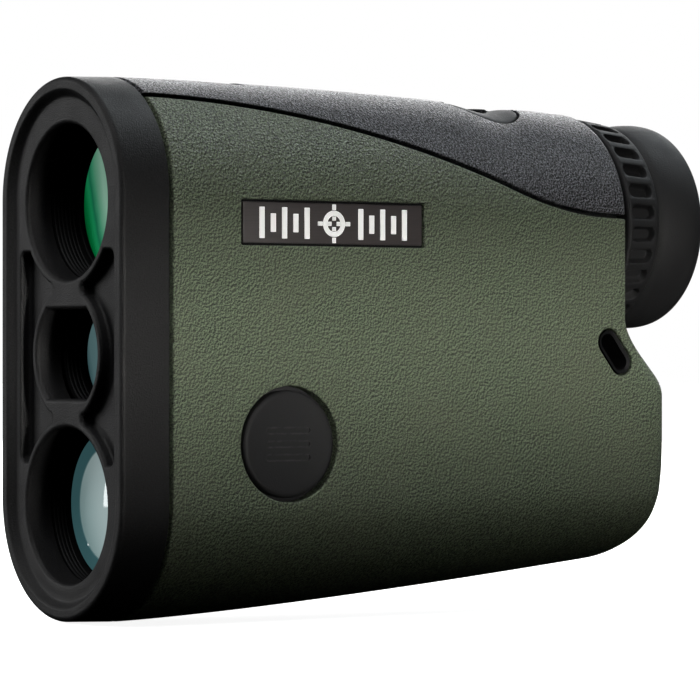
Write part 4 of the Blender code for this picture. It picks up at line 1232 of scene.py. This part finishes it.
def measure_surface(x, depth):
    """Height of the oval button's top: it follows the cover, with a thumb dish and a soft raised rim."""
    reach = np.hypot(x / (MEASURE_WIDTH / 2), (depth - MEASURE_DEPTH) / (MEASURE_LENGTH / 2))
    dish = 0.5 * (1 - smoothstep(reach / 0.92))
    edge = np.clip((reach - 0.93) / 0.07, 0, 1)
    return top_surface(x, depth) - 0.05 - dish - 0.32 * (1 - np.sqrt(1 - edge**2))


def measure_button(material):
    rim = 1 - 0.12 * (1 - np.sin(np.linspace(0, QUARTER, 7)[1:]))
    top = ((*np.linspace(0, 0.88, 18), *rim), measure_surface)
    under = (np.linspace(1.0, 0.0, 6), lambda x, d: top_surface(x, d) - MEASURE_SKIN)
    rings = []
    for shares, surface in (top, under):
        for share in shares:
            ring = [(x * share, MEASURE_DEPTH + (d - MEASURE_DEPTH) * share) for x, d in measure_outline(0.0)]
            rings.append([(x, d, float(surface(x, d))) for x, d in ring])
    button = loft("measure_key_top", rings, capped=False)
    finish(button, material, "measure_key", "rubber", "measure_button", sharp=50.0)
    at = MEASURE_DEPTH + 1.3
    ring_r, wire, bar = 1.75, 0.28, 0.25
    height = float(measure_surface(0.0, at)) + 0.3
    turns = [QUARTER * k / 3 for k in range(12)]
    loop = [(ring_r + wire * math.cos(t), height + wire * math.sin(t)) for t in turns]
    icon = turned("measure_icon", loop, axis="Z", depth=at, steps=64)
    long = ring_r + 0.95
    for wide, deep in ((long, bar), (bar, long)):
        low, high = (-wide, at - deep, height - 0.7), (wide, at + deep, height + 0.2)
        icon = join(icon, block("bar", low, high, 0.12))
    finish(icon, material, "measure_key", "rubber")
    at = MEASURE_DEPTH - MEASURE_LENGTH / 2 + 2.4
    height = float(measure_surface(0.0, at))
    turns = [QUARTER * k / 8 for k in range(9)]
    pip_r, foot = 0.9, height - 0.5
    dome = [(pip_r * math.sin(t), height - 0.2 + 0.62 * math.cos(t)) for t in turns]
    pip = turned("measure_pip", [*dome, (pip_r, foot), (0, foot)], axis="Z", depth=at, steps=40)
    finish(pip, material, "measure_key", "rubber")


def menu_button(material):
    """Round cap with a dished face and three bars sunk in it."""
    face = [(0, 16.42), (2.0, 16.44), (3.8, 16.52), (5.2, 16.62), (6.2, 16.72), (6.8, 16.78)]
    edge = [(7.0, 16.8), (7.25, 16.76), (7.45, 16.64), (7.57, 16.45), (MENU_CAP_R, 16.2), (MENU_CAP_R, 15.2)]
    skirt = [(MENU_CAP_R, 14.92), (9.4, 14.92), (9.4, 14.7), (6.6, 14.7), (6.6, 15.4), (0, 15.4)]
    cap = smooth_curve(face, 4)[:-1] + edge + skirt
    button = turned("menu_key_cap", cap, axis="X", depth=MENU_DEPTH, height=MENU_Z, steps=144)
    for row in (-1, 0, 1):
        bar = oblong(7.4, 0.85, MENU_DEPTH, MENU_Z + 1.9 * row, 0.0, 8)
        button = cut(button, loft("bar", [[(x, d, z) for d, z in bar] for x in (16.27, 17.5)]))
    return finish(button, material, "menu_key", "rubber", "menu_button", sharp=40.0)


# ---- badges, slot lining and battery cap


def badge(side, plate, white, shadow_sheet_black):
    """Plate with a raised range scale: ticks of two heights either side of a ring with a cross. A black sheet
    under it fills the recess floor round the plate as painted shade in the gap.
    """
    name = "left_badge" if side > 0 else "right_badge"
    low_x, high_x = (corner.x for corner in edges("left_badge"))
    plain = block(name + "_plate", (low_x, BADGE_FRONT, BADGE_LOW), (high_x, BADGE_REAR, BADGE_HIGH), 0.1)
    middle_d, middle_z = (BADGE_FRONT + BADGE_REAR) / 2, (BADGE_LOW + BADGE_HIGH) / 2
    foot, top, soft = high_x - 0.1, high_x + 0.14, 0.05
    inner, outer = 1.5 - 0.36, 1.5 + 0.36
    loop = [(inner, foot), (outer, foot), (outer, top - soft), (outer - soft, top), (inner + soft, top)]
    loop.append((inner, top - soft))
    mark = turned(name + "_mark", loop, axis="X", depth=middle_d, height=middle_z, steps=96)
    cross = [(way * near, way * far) for way in (-1, 1) for near, far in ((0.45, 1.05), (1.95, 2.75))]
    bars = [((near, -0.3), (far, 0.3)) for near, far in cross]
    bars += [((-0.3, near), (0.3, far)) for near, far in cross]
    for step in range(5):
        reach = 2.2 if step % 2 == 0 else 1.3
        for at in (-4.6 - 1.9 * step, 4.6 + 1.9 * step):
            bars.append(((at - 0.42, -reach), (at + 0.42, reach)))
    mark = join_loose(mark, [
        block("bar", (foot, middle_d + d0, middle_z + z0), (top, middle_d + d1, middle_z + z1), soft)
        for (d0, z0), (d1, z1) in bars
    ])
    floor = HALF_WIDTH - BADGE_RECESS
    # painted shade: a black sheet on the recess floor, so that the gap round the plate shows as a dark shadow
    # line
    shadow_sheet = outline_cutter(name + "_bed", badge_outline, [(-0.02, floor - 0.02), (-0.02, floor + 0.28)])
    for obj, material, nodes in ((plain, plate, [name]), (mark, white, []), (shadow_sheet, shadow_sheet_black, [])):
        finish(on_side(side, obj), material, "housing", "badge_plate", *nodes, sharp=40.0)


def join_loose(obj, others):
    """Joins separate solids into one object."""

    def change(bm):
        for other in others:
            bm.from_mesh(other.data)
            bpy.data.objects.remove(other)

    return reshaped(obj, change)


def lanyard_lining(material):
    """Rubber tunnel through the body behind the slots, given the near-black anodised colour, darker than
    rubber, as painted shade inside the slots.
    """
    reach = edges("lanyard_tunnel")[1].x
    corners = ((0.0, -reach), (0.0, reach), (-0.5, reach - 0.2), (-0.5, -reach + 0.2))
    rings = [[(x, d, z) for d, z in slot_outline(margin)] for margin, x in corners]
    return finish(closed_lattice("lanyard_lining", rings), material, "housing", "rubber", "lanyard_tunnel")


def battery_cap(material):
    """Screw cap with a coin slot and a rounded shoulder."""
    profile = [(0, 90.6), (7.5, 90.6), (7.5, 92.4), (6.5, 92.4), (6.5, 94.0), (7.5, 94.0), (7.5, 95.3)]
    profile.append((CAP_R, 95.3))
    for turn in (QUARTER * k / 5 for k in range(6)):
        profile.append((CAP_R - 0.45 * (1 - math.cos(turn)), 97.25 + 0.45 * math.sin(turn)))
    profile += [(8.3, 97.7), (8.1, 97.55), (7.9, 97.5), (0, 97.5)]
    cap = turned("battery_cap_face", profile, height=BATTERY_Z)
    lip, face = 0.25, 97.5
    mouth = [(wide, face - drop) for wide, drop in mouth_pairs(lip)[::-1]]
    slot = []
    for margin, depth in [(lip, 98.5), (lip, face), *mouth[1:], (0.0, 96.4)]:
        ring = oblong(14.0 + 2 * margin, 1.8 + 2 * margin, 0.0, BATTERY_Z, 0.0, 10)
        slot.append([(x, depth, z) for x, z in ring])
    return finish(cut(cap, loft("coin_slot", slot)), material, "cap", "black_bezel", "battery_cap")


# ---- carried-over CAD nodes


def dress_frame(materials):
    """Gives each CAD node that stays its slot's material."""
    slots = {row["node"]: row["material_slot"] for row in frame["record"]["subparts"]}
    for name, obj in frame["nodes"].items():
        obj.data.materials.clear()
        obj.data.materials.append(materials[slots[name]])


# ---- stage, lights and camera


def stage():
    """Pale floor below the object, white surroundings for the camera and a soft sky for the light."""
    floor = turned("floor", [(0, 0), (FLOOR_REACH, 0)], axis="Z", depth=-FRONT_Y, height=0.0, steps=96)
    s = Surface("floor", (0.8, 0.8, 0.8), 0.9)
    pale = s.ramp(s.noise(0.02, 2.0), [(0.3, (0.79, 0.79, 0.79)), (0.7, (0.81, 0.81, 0.81))])
    s.colour_from(pale)
    s.glow_from(pale, s.span(s.vector("LENGTH", s.mm), 150.0, 900.0, 1.13, 1.27))
    floor.data.materials.append(s.material)
    shown_only(floor)
    sky = bpy.data.worlds.new("studio")
    bpy.context.scene.world = sky
    sky.use_nodes = True
    nodes, links = sky.node_tree.nodes, sky.node_tree.links
    soft = nodes["Background"]
    place = nodes.new("ShaderNodeTexCoord")
    split = nodes.new("ShaderNodeSeparateXYZ")
    ramp = nodes.new("ShaderNodeValToRGB")
    dark, bright = ramp.color_ramp.elements
    dark.position, dark.color = 0.0, (0.0, 0.0, 0.0, 1)
    bright.position, bright.color = 0.6, (0.93, 0.97, 1.0, 1)
    links.new(place.outputs["Generated"], split.inputs[0])
    links.new(split.outputs["Z"], ramp.inputs["Fac"])
    links.new(ramp.outputs["Color"], soft.inputs["Color"])
    soft.inputs["Strength"].default_value = 0.06
    seen = nodes.new("ShaderNodeBackground")
    seen.inputs["Color"].default_value = (1, 1, 1, 1)
    rays = nodes.new("ShaderNodeLightPath")
    choose = nodes.new("ShaderNodeMixShader")
    links.new(rays.outputs["Is Camera Ray"], choose.inputs["Fac"])
    links.new(soft.outputs["Background"], choose.inputs[1])
    links.new(seen.outputs["Background"], choose.inputs[2])
    links.new(choose.outputs["Shader"], nodes["World Output"].inputs["Surface"])


def softbox(name, place, aim, size, watts, colour=(1.0, 1.0, 1.0), spread=180.0):
    """Rectangular area light, in metres. A spread below 180 degrees is a grid in front of it."""
    light = bpy.data.lights.new(name, "AREA")
    light.shape = "RECTANGLE"
    light.size, light.size_y = size
    light.energy = watts
    light.color = colour
    light.spread = math.radians(spread)
    obj = linked(name, light)
    obj.location = place
    obj.rotation_euler = (Vector(aim) - obj.location).to_track_quat("-Z", "Y").to_euler()
    obj.visible_camera = False


def lights():
    middle = (0, 0, CREST / 2 * MM)
    softbox("top_light", (-0.06, 0.42, 0.60), middle, (0.36, 0.36), 2.4, (0.90, 0.97, 1.0))
    softbox("fill_light", (0.10, -0.35, 0.70), middle, (0.4, 0.4), 2.7)
    strip = {"size": (0.45, 0.034), "watts": 0.052, "colour": (1.0, 0.98, 0.93), "spread": 5.2}
    softbox("side_strip", (0.60, -0.07, 0.05), (0, 0, 0.040), **strip)
    softbox("front_light", (-0.65, -0.60, 0.22), middle, (0.5, 0.5), 3.2)
    softbox("rear_light", (-0.75, 0.65, 0.35), middle, (0.6, 0.6), 6.0)


def camera():
    made = bpy.data.cameras.new("camera")
    made.sensor_width = 36.0
    made.lens = CAMERA_LENS
    obj = linked("camera", made)
    obj.location = CAMERA_PLACE
    obj.rotation_euler = Vector(CAMERA_AIM).to_track_quat("-Z", "Y").to_euler()
    bpy.context.scene.camera = obj
    bpy.context.scene.view_settings.view_transform = "Standard"


def build():
    green, cover, bezel = green_material(), cover_material(), bezel_material()
    rubber, black = rubber_material(), anodised_material()
    plate, white = badge_material(), white_material()
    # lens colours: each coating's tint with a painted reflection across it, given off as a painted glow
    coated = lens_material(
        "coated_lens",
        [(0.0, (0.0, 0.03, 0.005)), (0.18, (0.0, 0.16, 0.04)), (0.30, (0.01, 0.28, 0.10)),
         (0.37, (0.01, 0.17, 0.08)), (0.45, (0.05, 0.30, 0.16)), (0.66, (0.26, 0.48, 0.36))],
        VIEW_Z, OBJECTIVE_R, 0.6,
    )
    stops = [(0.0, (0.01, 0.05, 0.06)), (0.3, (0.10, 0.19, 0.20)), (1.0, (0.14, 0.24, 0.25))]
    teal = lens_material("emitter_glass", stops, EMIT_Z, EMITTER_R, 0.6)
    stops = [(0.0, (0.03, 0.09, 0.10)), (0.25, (0.22, 0.34, 0.34)), (0.8, (0.36, 0.46, 0.46))]
    rim = (0.785, (0.04, 0.11, 0.12))
    receiver = lens_material("receiver_glass", stops, RECV_Z, RECEIVER_R, 0.6, rim)
    stops = [(0.0, (0.002, 0.02, 0.012)), (0.4, (0.008, 0.06, 0.04)), (1.0, (0.05, 0.15, 0.11))]
    eye = lens_material("eye_glass", stops, EYE_Z, EYE_LENS_R, 0.25)
    materials = {
        "green_shell": green,
        "black_cover": cover,
        "black_bezel": bezel,
        "rubber": rubber,
        "badge_plate": plate,
        "anodised": black,
        "coated_glass": coated,
        "clear_glass": glass_material("clear_glass", (0.85, 0.93, 0.93), 0.02),
        "circuit_board": board_material(),
        "steel": metal_material("steel", (0.55, 0.55, 0.56), 0.3),
        "gold": metal_material("gold", (0.80, 0.60, 0.25), 0.28),
        "grey_plastic": moulding_material("grey_plastic", (0.12, 0.12, 0.13), 0.5),
        "polyimide": moulding_material("polyimide", (0.45, 0.16, 0.02), 0.4),
        "cell_wrap": moulding_material("cell_wrap", (0.55, 0.50, 0.12), 0.35),
    }
    dress_frame(materials)
    for side in (1, -1):
        side_shell(side, green)
        badge(side, plate, white, black)
        # near-black seam lip: the cover's tongue, made darker than the cover as painted shade in the seam
        seam_lip(side, black)
    top_cover(cover)
    front_bezel(bezel)
    front_seal(rubber)
    front_optics(black, {"objective": coated, "emitter": teal, "receiver": receiver})
    diopter_ring(rubber)
    eyecup(rubber)
    eyepiece(black, eye)
    measure_button(rubber)
    menu_button(rubber)
    # the lining takes the near-black anodised colour as painted shade inside the slots
    lanyard_lining(black)
    battery_cap(bezel)
    stage()
    lights()
    camera()


build()
